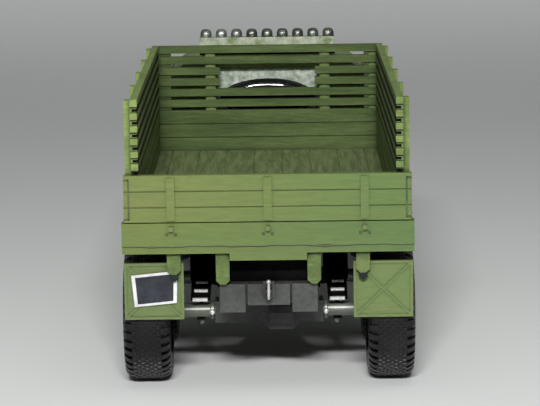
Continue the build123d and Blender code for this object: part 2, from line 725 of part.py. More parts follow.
with BuildPart() as headboard:
    block((-SIDE_OUTER, SIDE_OUTER), (HEADBOARD_REAR_Y, BED_FRONT_Y), (FLOOR_BOTTOM, BOARD_TOP))
    for index in range(SLATS):
        slat_z = BOARD_TOP + SLAT_GAP + index * SLAT_PITCH
        block((-SIDE_OUTER, SIDE_OUTER), (HEADBOARD_REAR_Y, BED_FRONT_Y), (slat_z, slat_z + SLAT_HEIGHT))
    for inner_x, outer_x in HEADBOARD_POSTS:
        for side in (-1, 1):
            block(
                sorted((side * inner_x, side * outer_x)),
                (HEADBOARD_REAR_Y + POST_SUNK, BED_FRONT_Y + POST_THICK),
                (FLOOR_TOP, RACK_TOP - SLAT_GAP / 2),
            )
    for index in range(1, SIDE_PLANKS):
        joint_z = FLOOR_TOP + index * BOARD_HEIGHT / SIDE_PLANKS
        block(
            (-SIDE_OUTER, SIDE_OUTER),
            (HEADBOARD_REAR_Y - GROOVE, HEADBOARD_REAR_Y + GROOVE),
            (joint_z - GROOVE / 2, joint_z + GROOVE / 2),
            mode=Mode.SUBTRACT,
        )
    opening_low = RACK_TOP - (OPENING_SLATS[-1] + 1) * SLAT_PITCH
    opening_high = RACK_TOP - OPENING_SLATS[0] * SLAT_PITCH
    block(
        (-OPENING_HALF, OPENING_HALF),
        (HEADBOARD_REAR_Y, BED_FRONT_Y),
        (opening_low, opening_high),
        mode=Mode.SUBTRACT,
    )
headboard.part.label = "headboard"
export_step(headboard.part, "parts/headboard.step")

# ---------------------------------------------------------------- tail brackets, buffers and mudflaps
INNER_TAB_X = 9.5
OUTER_TAB_X = 19.65
TAB_WIDTH = 2.8
TAB_CORNER = 0.8
TAB_THICK = 1.2
INNER_TAB_BOTTOM = BEARER_BOTTOM - 8.55
OUTER_TAB_BOTTOM = BEARER_BOTTOM - 6.35
BUFFER_HEIGHT = 1.45
BUFFER_CORNER = 0.6
FLAP_INNER = 17.7
FLAP_OUTER = BED_HALF + 0.1
FLAP_TOP = BEARER_BOTTOM - 4.15
FLAP_BOTTOM = FLAP_TOP - 11.95
FLAP_THICK = 0.8
FLAP_RIB = 0.25
FLAP_BORDER = 0.55
FLAP_CROSS = 0.45
TAB_REAR_Y = TAIL_Y + SILL_LIP_INSET + SILL_LIP_THICK
FLAP_REAR_Y = TAB_REAR_Y + TAB_THICK

with BuildPart() as tail_brackets:
    for tab_x, bottom in ((INNER_TAB_X, INNER_TAB_BOTTOM), (OUTER_TAB_X, OUTER_TAB_BOTTOM)):
        for side in (-1, 1):
            with BuildSketch(across(TAB_REAR_Y + TAB_THICK)):
                with Locations((side * tab_x, (bottom + BEARER_BOTTOM) / 2)):
                    tab = Rectangle(TAB_WIDTH, BEARER_BOTTOM - bottom)
                chamfer(tab.vertices().group_by(Axis.Y)[0], TAB_CORNER)
            extrude(amount=TAB_THICK)
tail_brackets.part.label = "tail_brackets"
export_step(tail_brackets.part, "parts/tail_brackets.step")

with BuildPart() as mudflap_buffers:
    for side in (-1, 1):
        with BuildSketch(across(TAB_REAR_Y + TAB_THICK)):
            with Locations((side * OUTER_TAB_X, OUTER_TAB_BOTTOM - BUFFER_HEIGHT / 2)):
                buffer = Rectangle(TAB_WIDTH - 2 * TAB_CORNER + 0.6, BUFFER_HEIGHT)
            chamfer(buffer.vertices().group_by(Axis.Y)[0], BUFFER_CORNER)
        extrude(amount=TAB_THICK)
mudflap_buffers.part.label = "mudflap_buffers"
export_step(mudflap_buffers.part, "parts/mudflap_buffers.step")

flap_width = FLAP_OUTER - FLAP_INNER
flap_height = FLAP_TOP - FLAP_BOTTOM
flap_diagonal = hypot(flap_width, flap_height)
flap_angle = degrees(atan2(flap_height, flap_width))
with BuildPart() as mudflaps:
    with BuildSketch(across(FLAP_REAR_Y + FLAP_RIB)):
        with Locations(((FLAP_INNER + FLAP_OUTER) / 2, (FLAP_TOP + FLAP_BOTTOM) / 2)):
            Rectangle(flap_width, flap_height)
    extrude(amount=FLAP_RIB - FLAP_THICK)
    with BuildSketch(across(FLAP_REAR_Y + FLAP_RIB)):
        with Locations(((FLAP_INNER + FLAP_OUTER) / 2, (FLAP_TOP + FLAP_BOTTOM) / 2)):
            Rectangle(flap_width, flap_height)
            Rectangle(flap_width - 2 * FLAP_BORDER, flap_height - 2 * FLAP_BORDER, mode=Mode.SUBTRACT)
            Rectangle(flap_diagonal - 3 * FLAP_BORDER, FLAP_CROSS, rotation=flap_angle)
            Rectangle(flap_diagonal - 3 * FLAP_BORDER, FLAP_CROSS, rotation=-flap_angle)
    extrude(amount=FLAP_RIB)
    mirror(about=Plane.YZ)
mudflaps.part.label = "mudflaps"
export_step(mudflaps.part, "parts/mudflaps.step")

# ---------------------------------------------------------------- cab shell
DOOR_REAR_Y = CAB_REAR_Y + 5.0
DOOR_FRONT_Y = CAB_FRONT_Y - 3.0
SIDE_WINDOW_BOTTOM = CAB_WAIST_Z + 0.2
SIDE_WINDOW_TOP = CAB_WAIST_Z + 8.0
SIDE_WINDOW_REAR_Y = DOOR_REAR_Y + 1.6
SIDE_WINDOW_FRONT_Y = DOOR_FRONT_Y - 1.6
WINDOW_CORNER = 1.2
SCREEN_HALF = 18.0
SCREEN_POST = 1.0
SCREEN_HEIGHT = 9.6
REAR_WINDOW_A = 10.85
REAR_WINDOW_B = 3.95
REAR_WINDOW_Z = CAB_WAIST_Z + 2.95
OVAL_SIDES = 32
PANEL_HALF = 13.4
PANEL_LOW = CAB_WAIST_Z - 2.5
PANEL_HIGH = CAB_WAIST_Z + 10.1
PANEL_THICK = 0.3
RUBBER_WIDTH = 0.8
RUBBER_PROUD = 0.45
GLASS_THICK = 0.5
WINDOW_FIT = 0.05
rake_angle = degrees(atan2(CAB_RAKE, CAB_ROOF_Z - CAB_WAIST_Z))
# the cab's crown, from its side inwards: distance in from the side, distance below the roof
CAB_CROWN = ((0.0, 5.0), (1.4, 3.6), (3.6, 2.0), (6.4, 0.7), (10.0, 0.0))


def cab_solid(inset):
    """The cab's closed form, with its walls moved inwards by inset and its foot left open."""
    base = RAIL_TOP if inset == 0 else RAIL_TOP - 1.0
    rear = CAB_REAR_Y + inset
    front = CAB_FRONT_Y - inset
    right = [(CAB_HALF - inset, base)]
    right += [(CAB_HALF - inset - inwards, CAB_ROOF_Z - inset - below) for inwards, below in CAB_CROWN]
    left = [(-x, z) for x, z in reversed(right)]
    over = CAB_ROOF_Z + 5.0
    rake_over = CAB_RAKE * (over - CAB_WAIST_Z) / (CAB_ROOF_Z - CAB_WAIST_Z)
    with BuildPart(mode=Mode.PRIVATE) as form:
        with BuildSketch(across(rear)):
            with BuildLine():
                Polyline(*right, *left, close=True)
            make_face()
        extrude(amount=rear - front)
        with BuildSketch(along(-CAB_HALF)):
            with BuildLine():
                Polyline(
                    (front, CAB_WAIST_Z),
                    (front + 5.0, CAB_WAIST_Z),
                    (front + 5.0, over),
                    (front - rake_over, over),
                    close=True,
                )
            make_face()
        extrude(amount=2 * CAB_HALF, mode=Mode.SUBTRACT)
    return form.part


screen_plane = Plane(
    origin=(0, CAB_FRONT_Y - CAB_RAKE / 2, (CAB_WAIST_Z + CAB_ROOF_Z) / 2),
    x_dir=(1, 0, 0),
    z_dir=(0, cos(radians(rake_angle)), sin(radians(rake_angle))),
)


def side_window(clearance=0.0):
    """The door window's outline, inside the sketch that is open."""
    slope = CAB_RAKE * (SIDE_WINDOW_TOP - SIDE_WINDOW_BOTTOM) / (CAB_ROOF_Z - CAB_WAIST_Z)
    with BuildLine() as outline:
        Polyline(
            (SIDE_WINDOW_REAR_Y + clearance, SIDE_WINDOW_BOTTOM + clearance),
            (SIDE_WINDOW_FRONT_Y - clearance, SIDE_WINDOW_BOTTOM + clearance),
            (SIDE_WINDOW_FRONT_Y - slope - clearance, SIDE_WINDOW_TOP - clearance),
            (SIDE_WINDOW_REAR_Y + clearance, SIDE_WINDOW_TOP - clearance),
            close=True,
        )
    face = make_face(outline.edges())
    chamfer(face.vertices(), WINDOW_CORNER)


def screen_panes(clearance=0.0):
    """The two windscreen panes, inside the sketch that is open on the screen plane."""
    width = SCREEN_HALF - SCREEN_POST
    with Locations((-SCREEN_POST - width / 2, 0), (SCREEN_POST + width / 2, 0)):
        pane = Rectangle(width - 2 * clearance, SCREEN_HEIGHT - 2 * clearance)
    chamfer(pane.vertices(), WINDOW_CORNER)


def oval(grow, mode=Mode.ADD):
    """The rear window's oval made larger all round by grow, inside the sketch that is open."""
    with BuildLine() as outline:
        Polyline(
            *[
                (
                    (REAR_WINDOW_A + grow) * cos(2 * pi * index / OVAL_SIDES),
                    REAR_WINDOW_Z + (REAR_WINDOW_B + grow) * sin(2 * pi * index / OVAL_SIDES),
                )
                for index in range(OVAL_SIDES)
            ],
            close=True,
        )
    make_face(outline.edges(), mode=mode)


SHUT_LINE = 0.25  # width and depth of the groove round a door
DOOR_LOW = RAIL_TOP + 1.6
HANDLE_Z = CAB_WAIST_Z - 2.0
HANDLE_BACK = 1.4
HANDLE_LENGTH = 3.0
HANDLE_HEIGHT = 0.7
HANDLE_PROUD = 0.5

with BuildPart() as cab_shell:
    add(cab_solid(0.0))
    add(cab_solid(CAB_WALL), mode=Mode.SUBTRACT)
    with BuildSketch(along(-CAB_HALF - 1.0)):
        side_window()
    extrude(amount=2 * CAB_HALF + 2.0, mode=Mode.SUBTRACT)
    with BuildSketch(screen_plane):
        screen_panes()
    extrude(amount=3.0, both=True, mode=Mode.SUBTRACT)
    with BuildSketch(across(CAB_REAR_Y + CAB_WALL)):
        oval(0.0)
    extrude(amount=CAB_WALL, mode=Mode.SUBTRACT)
    for wall_x in (-CAB_HALF, CAB_HALF):
        groove_x = (wall_x - SHUT_LINE, wall_x + SHUT_LINE)
        for edge_y in (DOOR_REAR_Y, DOOR_FRONT_Y):
            groove_y = (edge_y - SHUT_LINE / 2, edge_y + SHUT_LINE / 2)
            block(groove_x, groove_y, (DOOR_LOW, CAB_WAIST_Z), mode=Mode.SUBTRACT)
        groove_z = (DOOR_LOW - SHUT_LINE / 2, DOOR_LOW + SHUT_LINE / 2)
        block(groove_x, (DOOR_REAR_Y, DOOR_FRONT_Y), groove_z, mode=Mode.SUBTRACT)
        handle_y = (DOOR_REAR_Y + HANDLE_BACK, DOOR_REAR_Y + HANDLE_BACK + HANDLE_LENGTH)
        block((wall_x - HANDLE_PROUD, wall_x + HANDLE_PROUD), handle_y, (HANDLE_Z, HANDLE_Z + HANDLE_HEIGHT))
cab_shell.part.label = "cab_shell"
export_step(cab_shell.part, "parts/cab_shell.step")

with BuildPart() as rear_window_panel:
    with BuildSketch(across(CAB_REAR_Y)):
        with Locations((0, (PANEL_LOW + PANEL_HIGH) / 2)):
            Rectangle(2 * PANEL_HALF, PANEL_HIGH - PANEL_LOW)
        oval(RUBBER_WIDTH + WINDOW_FIT, mode=Mode.SUBTRACT)
    extrude(amount=PANEL_THICK)
rear_window_panel.part.label = "rear_window_panel"
export_step(rear_window_panel.part, "parts/rear_window_panel.step")

with BuildPart() as rear_window_rubber:
    with BuildSketch(across(CAB_REAR_Y)):
        oval(RUBBER_WIDTH)
        oval(-RUBBER_WIDTH, mode=Mode.SUBTRACT)
    extrude(amount=RUBBER_PROUD)
    with BuildSketch(across(CAB_REAR_Y + CAB_WALL)):
        oval(-WINDOW_FIT)
        oval(-RUBBER_WIDTH, mode=Mode.SUBTRACT)
    extrude(amount=CAB_WALL)
rear_window_rubber.part.label = "rear_window_rubber"
export_step(rear_window_rubber.part, "parts/rear_window_rubber.step")

with BuildPart() as cab_glazing:
    with BuildSketch(across(CAB_REAR_Y + (CAB_WALL + GLASS_THICK) / 2)):
        oval(-RUBBER_WIDTH - WINDOW_FIT)
    extrude(amount=GLASS_THICK)
    with BuildSketch(screen_plane.offset(-(CAB_WALL + GLASS_THICK) / 2)):
        screen_panes(WINDOW_FIT)
    extrude(amount=GLASS_THICK)
    for side in (-1, 1):
        with BuildSketch(along(side * (CAB_HALF - (CAB_WALL + GLASS_THICK) / 2))):
            side_window(WINDOW_FIT)
        extrude(amount=side * GLASS_THICK)
cab_glazing.part.label = "cab_glazing"
export_step(cab_glazing.part, "parts/cab_glazing.step")

# ---------------------------------------------------------------- cab inside
SEAT_WIDTH = 42.0
SEAT_DEPTH = 9.0
SEAT_Z = RAIL_TOP + 7.8
SEAT_THICK = 2.6
SEAT_BACK_TOP = SEAT_Z + 7.0
WHEEL_X = -9.5
WHEEL_RING_R = 4.2
WHEEL_RING_SECTION = 0.4
WHEEL_SIDES = 18
COLUMN_R = 0.5
COLUMN_SIDES = 8
COLUMN_LENGTH = 4.4
cab_floor_top = RAIL_TOP + CAB_FLOOR_THICK
inner_half = CAB_HALF - CAB_WALL
inner_rear = CAB_REAR_Y + CAB_WALL
inner_front = CAB_FRONT_Y - CAB_WALL

with BuildPart() as cab_inside:
    block((-inner_half, inner_half), (inner_rear, inner_front), (RAIL_TOP, cab_floor_top))
    with BuildSketch(along(-inner_half + 1.0)):
        with BuildLine():
            Polyline(
                (inner_front, cab_floor_top),
                (inner_front, CAB_WAIST_Z - 1.0),
                (inner_front - 3.5, CAB_WAIST_Z - 1.0),
                (inner_front - 4.5, CAB_WAIST_Z - 4.5),
                (inner_front - 1.0, CAB_WAIST_Z - 7.5),
                (inner_front - 1.0, cab_floor_top),
                close=True,
            )
        make_face()
    extrude(amount=2 * (inner_half - 1.0))
cab_inside.part.label = "cab_inside"
export_step(cab_inside.part, "parts/cab_inside.step")

with BuildPart() as cab_seat:
    with BuildSketch(along(-SEAT_WIDTH / 2)):
        with BuildLine():
            Polyline(
                (inner_rear, cab_floor_top),
                (inner_rear, SEAT_BACK_TOP),
                (inner_rear + 2.0, SEAT_BACK_TOP),
                (inner_rear + 3.0, SEAT_Z),
                (inner_rear + SEAT_DEPTH, SEAT_Z + 0.4),
                (inner_rear + SEAT_DEPTH, SEAT_Z - SEAT_THICK),
                (inner_rear + SEAT_DEPTH - 1.0, cab_floor_top),
                close=True,
            )
        make_face()
    extrude(amount=SEAT_WIDTH)
cab_seat.part.label = "cab_seat"
export_step(cab_seat.part, "parts/cab_seat.step")

wheel_centre = Vector(WHEEL_X, inner_front - 7.6, CAB_WAIST_Z - 0.6)
wheel_normal = Vector(0, -1, 1.1).normalized()
with BuildPart() as steering_wheel:
    wheel_plane = Plane(origin=wheel_centre, x_dir=(1, 0, 0), z_dir=wheel_normal)
    with BuildSketch(wheel_plane.offset(-WHEEL_RING_SECTION)):
        RegularPolygon(WHEEL_RING_R, WHEEL_SIDES)
        RegularPolygon(WHEEL_RING_R - 2 * WHEEL_RING_SECTION, WHEEL_SIDES, mode=Mode.SUBTRACT)
        Rectangle(2 * WHEEL_RING_R - 2 * WHEEL_RING_SECTION, WHEEL_RING_SECTION * 2)
        RegularPolygon(COLUMN_R * 2, COLUMN_SIDES)
    extrude(amount=2 * WHEEL_RING_SECTION)
    with BuildSketch(wheel_plane):
        RegularPolygon(COLUMN_R, COLUMN_SIDES)
    extrude(amount=-COLUMN_LENGTH)
steering_wheel.part.label = "steering_wheel"
export_step(steering_wheel.part, "parts/steering_wheel.step")

# ---------------------------------------------------------------- ribbed roof box and mirrors
RIBS = 9
RIB_PITCH = 3.76
RIB_WIDTH = 2.4
RIB_HEIGHT = 2.0
BOX_WIDTH = 33.2
BOX_LENGTH = 2.6
BOX_BASE = 4.3
BOX_REAR_Y = CAB_REAR_Y + 1.2
# half of a rib's section: out from its middle as a share of its width, up as a share of its height
RIB_PROFILE = ((0.5, 0.0), (0.5, 0.42), (0.36, 0.82), (0.14, 1.0))
MIRROR_X = 27.0
MIRROR_Z = CAB_WAIST_Z + 3.6
MIRROR_WIDTH = 3.2
MIRROR_HEIGHT = 5.6
MIRROR_CORNER = 0.7
MIRROR_THICK = 0.8
MIRROR_BACK = 2.0
MIRROR_ARM = 0.7
MIRROR_ARM_DROP = 4.6

with BuildPart() as ribbed_roof_box:
    box_y = (BOX_REAR_Y, BOX_REAR_Y + BOX_LENGTH)
    block((-BOX_WIDTH / 2, BOX_WIDTH / 2), box_y, (CAB_ROOF_Z, CAB_ROOF_Z + BOX_BASE))
    with BuildSketch(across(BOX_REAR_Y)):
        for index in range(RIBS):
            rib_x = (index - (RIBS - 1) / 2) * RIB_PITCH
            rib_z = CAB_ROOF_Z + BOX_BASE
            right = [(rib_x + out * RIB_WIDTH, rib_z + up * RIB_HEIGHT) for out, up in RIB_PROFILE]
            left = [(rib_x - out * RIB_WIDTH, rib_z + up * RIB_HEIGHT) for out, up in reversed(RIB_PROFILE)]
            with BuildLine():
                Polyline(*right, *left, close=True)
            make_face()
    extrude(amount=-BOX_LENGTH)
ribbed_roof_box.part.label = "ribbed_roof_box"
export_step(ribbed_roof_box.part, "parts/ribbed_roof_box.step")

with BuildPart() as mirrors:
    mirror_y = CAB_FRONT_Y - MIRROR_BACK
    arm_z = MIRROR_Z - MIRROR_ARM_DROP
    arm_y = (mirror_y - MIRROR_THICK, mirror_y - MIRROR_THICK + MIRROR_ARM)
    with BuildSketch(across(mirror_y)):
        with Locations((MIRROR_X, MIRROR_Z)):
            glass = Rectangle(MIRROR_WIDTH, MIRROR_HEIGHT)
        chamfer(glass.vertices(), MIRROR_CORNER)
    extrude(amount=MIRROR_THICK)
    block((CAB_HALF, MIRROR_X + MIRROR_ARM / 2), arm_y, (arm_z, arm_z + MIRROR_ARM))
    arm_x = (MIRROR_X - MIRROR_ARM / 2, MIRROR_X + MIRROR_ARM / 2)
    block(arm_x, arm_y, (arm_z, MIRROR_Z - MIRROR_HEIGHT / 2))
    mirror(about=Plane.YZ)
mirrors.part.label = "mirrors"
export_step(mirrors.part, "parts/mirrors.step")

# ---------------------------------------------------------------- hood, fenders, grille and headlamps
# hood section by section: its place along the model, half width, top height
HOOD_SECTIONS = (
    (CAB_FRONT_Y, 17.5, CAB_WAIST_Z + 0.2),
    (HOOD_FRONT_Y, 13.5, CAB_WAIST_Z - 2.0),
)
# the crown of a section, from its side inwards: distance in from the side, distance below the top
HOOD_CROWN = ((0.0, 5.2), (0.5, 3.2), (1.8, 1.5), (4.0, 0.5), (7.5, 0.0))


def hood_solid(inset):
    """The hood's closed form, with its sides and top moved inwards by inset."""
    sections = []
    for section_y, half_width, top in HOOD_SECTIONS:
        right = [(half_width - inset, FENDER_TOP - inset)]
        right += [(half_width - inset - inwards, top - inset - below) for inwards, below in HOOD_CROWN]
        left = [(-x, z) for x, z in reversed(right)]
        sections.append([(x, section_y, z) for x, z in right + left])
    rear, front = sections
    sides = [
        (rear[index - 1], rear[index], front[index], front[index - 1])
        for index in range(len(rear))
    ]
    return flat_faced([rear, front, *sides])


with BuildPart() as hood:
    add(hood_solid(0.0))
    add(hood_solid(HOOD_WALL), mode=Mode.SUBTRACT)
hood.part.label = "hood"
export_step(hood.part, "parts/hood.step")

ARCH_R = TYRE_R + 2.4
ARCH_SIDES = 40
FENDER_SKIRT = 1.0
FENDER_REAR_Y = CAB_FRONT_Y
FENDER_FRONT_Y = FRONT_Y - 5.0
FENDER_LOW = 21.5
FENDER_NOSE_Z = 27.5
outline = (
    (FENDER_REAR_Y, FENDER_LOW),
    (FENDER_REAR_Y, FENDER_TOP),
    (FRONT_AXLE_Y + 11.5, FENDER_TOP),
    (FENDER_FRONT_Y - 1.5, FENDER_NOSE_Z),
    (FENDER_FRONT_Y, FENDER_NOSE_Z - 3.0),
)

with BuildPart() as front_fenders:
    with BuildSketch(along(RAIL_OUTER)):
        with BuildLine():
            path = Polyline(*outline)
            offset(path, amount=FENDER_THICK, side=Side.RIGHT, kind=Kind.INTERSECTION)
        make_face()
    extrude(amount=FENDER_OUTER - RAIL_OUTER)
    for plate_x, plate_low in ((RAIL_OUTER, HANGER_TOP), (FENDER_OUTER - FENDER_SKIRT, FENDER_LOW)):
        with BuildSketch(along(plate_x)):
            with BuildLine():
                Polyline(*outline, (FENDER_FRONT_Y - 3.0, FENDER_LOW), close=True)
            make_face()
            with Locations((FRONT_AXLE_Y, TYRE_R)):
                RegularPolygon(ARCH_R, ARCH_SIDES, mode=Mode.SUBTRACT)
            with Locations((FRONT_AXLE_Y, plate_low - ARCH_R / 2)):
                Rectangle(4 * ARCH_R, ARCH_R, mode=Mode.SUBTRACT)
        extrude(amount=FENDER_SKIRT)
    mirror(about=Plane.YZ)
front_fenders.part.label = "front_fenders"
export_step(front_fenders.part, "parts/front_fenders.step")

GRILLE_HALF = 12.6
GRILLE_TOP = CAB_WAIST_Z - 2.2
GRILLE_FRAME = 1.4
GRILLE_BARS = 9
GRILLE_BAR_WIDTH = 1.1
LAMP_R = 3.0
LAMP_LENGTH = 4.0
LAMP_SIDES = 16
LAMP_TAPER = 1.9
LAMP_POST = 1.6
LAMP_X = 20.5

with BuildPart() as radiator_grille:
    with BuildSketch(across(HOOD_FRONT_Y + GRILLE_DEPTH)):
        with Locations((0, (RAIL_TOP + GRILLE_TOP) / 2)):
            frame = Rectangle(2 * GRILLE_HALF, GRILLE_TOP - RAIL_TOP)
            chamfer(frame.vertices().group_by(Axis.Y)[-1], 2.0)
            inner_width = 2 * (GRILLE_HALF - GRILLE_FRAME)
            Rectangle(inner_width, GRILLE_TOP - RAIL_TOP - 2 * GRILLE_FRAME, mode=Mode.SUBTRACT)
        for index in range(GRILLE_BARS):
            bar_x = (index - (GRILLE_BARS - 1) / 2) * 2 * (GRILLE_HALF - GRILLE_FRAME) / GRILLE_BARS
            with Locations((bar_x, (RAIL_TOP + GRILLE_TOP) / 2)):
                Rectangle(GRILLE_BAR_WIDTH, GRILLE_TOP - RAIL_TOP - GRILLE_FRAME)
    extrude(amount=GRILLE_DEPTH)
radiator_grille.part.label = "radiator_grille"
export_step(radiator_grille.part, "parts/radiator_grille.step")

with BuildPart() as headlamps:
    lamp_y = FRONT_AXLE_Y + 9.0
    lamp_z = FENDER_TOP + LAMP_R + 0.5
    with BuildSketch(across(lamp_y + LAMP_LENGTH / 2)):
        with Locations((LAMP_X, lamp_z)):
            RegularPolygon(LAMP_R, LAMP_SIDES)
    extrude(amount=LAMP_LENGTH)
    chamfer(headlamps.faces().sort_by(Axis.Y)[0].edges(), length=LAMP_TAPER)
    block(
        (LAMP_X - LAMP_POST / 2, LAMP_X + LAMP_POST / 2),
        (lamp_y, lamp_y + LAMP_POST),
        (FENDER_TOP, lamp_z),
    )
    mirror(about=Plane.YZ)
headlamps.part.label = "headlamps"
export_step(headlamps.part, "parts/headlamps.step")

# ---------------------------------------------------------------- wheelsets
TYRE_CENTRE_X = TRACK / 2
TYRE_HALF = TYRE_WIDTH / 2
LUGS = 20  # on each of the two rows of a tyre
TYRE_SIDES = 2 * LUGS
TYRE_TURN = pi / TYRE_SIDES
ROOT_R = TYRE_R - 1.15
LUG_TOP = 1.8
LUG_GROOVE = 0.6
SHOULDER_HALF = 4.4
BORE_R = (RIM_R + RIM_FIT) / cos(TYRE_TURN)
RIM_SIDES = 16
HUB_FRONT = 2.2
ROD_END = TYRE_CENTRE_X + HUB_FRONT + 0.6
# a tyre's section round its axle: distance out from its middle, radius
TYRE_PROFILE = (
    (-3.5, BORE_R),
    (-TYRE_HALF, 11.6),
    (-SHOULDER_HALF, ROOT_R),
    (SHOULDER_HALF, ROOT_R),
    (TYRE_HALF, 11.6),
    (3.5, BORE_R),
)
# a wheel's section round its hub: distance out from its middle, radius
HUB_BORE_R = 3.0
WHEEL_PROFILE = (
    (-3.2, HUB_BORE_R),
    (-3.2, HUB_R),
    (0.1, HUB_R + 0.4),
    (0.1, 5.8),
    (-3.7, 6.9),
    (-3.7, RIM_R),
    (3.7, RIM_R),
    (3.7, 6.9),
    (1.3, 5.8),
    (1.3, HUB_R + 0.4),
    (HUB_FRONT, HUB_R),
    (HUB_FRONT, HUB_BORE_R),
)
ORIGIN = (0.0, 0.0, 0.0)

# one tyre about the origin, its outer side towards +X
with BuildPart() as tyre_form:
    add(turned(TYRE_PROFILE, TYRE_SIDES, ORIGIN, TYRE_TURN))
    root_half = ROOT_R * sin(TYRE_TURN)
    root_z = ROOT_R * cos(TYRE_TURN)
    for row, start_x in enumerate((-SHOULDER_HALF, LUG_GROOVE / 2)):
        with BuildSketch(along(start_x)):
            with PolarLocations(0, LUGS, start_angle=-90 + row * 180 / LUGS):
                Polygon(
                    (root_z, -root_half),
                    (TYRE_R, -LUG_TOP / 2),
                    (TYRE_R, LUG_TOP / 2),
                    (root_z, root_half),
                    align=None,
                )
        extrude(amount=SHOULDER_HALF - LUG_GROOVE / 2)

# one wheel about the origin, its dish towards +X, with the hub's bush round the rod
with BuildPart() as wheel_form:
    add(turned(WHEEL_PROFILE, RIM_SIDES, ORIGIN))
    with BuildSketch(along(WHEEL_PROFILE[0][0])):
        RegularPolygon(HUB_BORE_R, RIM_SIDES)
        Circle(ROD_R + ROD_FIT, mode=Mode.SUBTRACT)
    extrude(amount=HUB_FRONT - WHEEL_PROFILE[0][0])

for axle_name, axle_y in (("front", FRONT_AXLE_Y), ("middle", MIDDLE_AXLE_Y), ("rear", REAR_AXLE_Y)):
    with BuildPart() as axle_rod:
        with BuildSketch(along(-ROD_END)):
            with Locations((axle_y, TYRE_R)):
                Circle(ROD_R)
        extrude(amount=2 * ROD_END)
    axle_rod.part.label = f"axle_rod_{axle_name}"
    export_step(axle_rod.part, f"parts/axle_rod_{axle_name}.step")

    wheel_places = (
        Location((TYRE_CENTRE_X, axle_y, TYRE_R), (0, 0, 0)),
        Location((-TYRE_CENTRE_X, axle_y, TYRE_R), (0, 0, 180)),
    )
    with BuildPart() as wheels:
        with Locations(*wheel_places):
            add(wheel_form.part)
    wheels.part.label = f"wheels_{axle_name}"
    export_step(wheels.part, f"parts/wheels_{axle_name}.step")

    with BuildPart() as tyres:
        with Locations(*wheel_places):
            add(tyre_form.part)
    tyres.part.label = f"tyres_{axle_name}"
    export_step(tyres.part, f"parts/tyres_{axle_name}.step")
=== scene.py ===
"""Looks of the military cargo truck model: materials, small trim, treads, floor, light and camera."""

import json
from math import cos, pi, sin

import bpy
from mathutils import Matrix, Vector


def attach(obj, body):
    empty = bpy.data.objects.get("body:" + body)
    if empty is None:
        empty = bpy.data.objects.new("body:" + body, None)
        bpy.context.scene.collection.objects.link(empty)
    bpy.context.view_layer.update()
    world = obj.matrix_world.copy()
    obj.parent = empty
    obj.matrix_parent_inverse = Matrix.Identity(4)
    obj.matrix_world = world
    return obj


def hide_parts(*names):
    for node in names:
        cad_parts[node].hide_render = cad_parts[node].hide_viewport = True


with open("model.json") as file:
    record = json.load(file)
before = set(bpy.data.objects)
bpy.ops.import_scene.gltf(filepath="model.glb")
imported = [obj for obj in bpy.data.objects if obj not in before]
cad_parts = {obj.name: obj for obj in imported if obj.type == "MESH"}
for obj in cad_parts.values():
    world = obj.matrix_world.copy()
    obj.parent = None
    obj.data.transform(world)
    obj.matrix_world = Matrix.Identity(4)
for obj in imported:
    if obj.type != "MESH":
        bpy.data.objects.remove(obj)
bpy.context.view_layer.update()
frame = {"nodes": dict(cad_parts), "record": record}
MM = 0.001

# ---------------------------------------------------------------- places, in millimetres
TAIL_Y = -85.0
REAR_Y = -66.5
MIDDLE_Y = -32.5
FRONT_Y = 59.0
TYRE_R = 14.65
TYRE_X = 25.9
BED_SIDE_X = 28.0  # the outside of the side boards and slats
BOARD_IN_X = 26.6  # just clear of their inside
POST_FACE_X = 29.35
SLAT_PITCH = 2.633
GAP_HEIGHT = 0.85
CLEAR = 0.02  # what small pieces stay away from the CAD that they fill a gap in

# ---------------------------------------------------------------- what the surfaces share
SIDE_TINT_HALF = 30.0  # half the width over which the hue change runs, and on the racks the painted shade, in millimetres
CORNER_DARK, CORNER_CLEAR = 0.35, 0.95  # ambient occlusion at which the painted corner shade is full, and gone
GLOSS_SWING = 0.12
SKIN_DEPTH = 0.12
GAP_SHADE = (0.014, 0.021, 0.008, 1.0)
GAP_FOOT_SHARE = 0.12  # of a pitch, with painted shade above a slat's foot


# ---------------------------------------------------------------- materials
def node_of(tree, kind, **values):
    """A new shader node with its attributes or input defaults set."""
    node = tree.nodes.new(kind)
    for key, value in values.items():
        if key in node.inputs:
            node.inputs[key].default_value = value
        else:
            setattr(node, key, value)
    return node


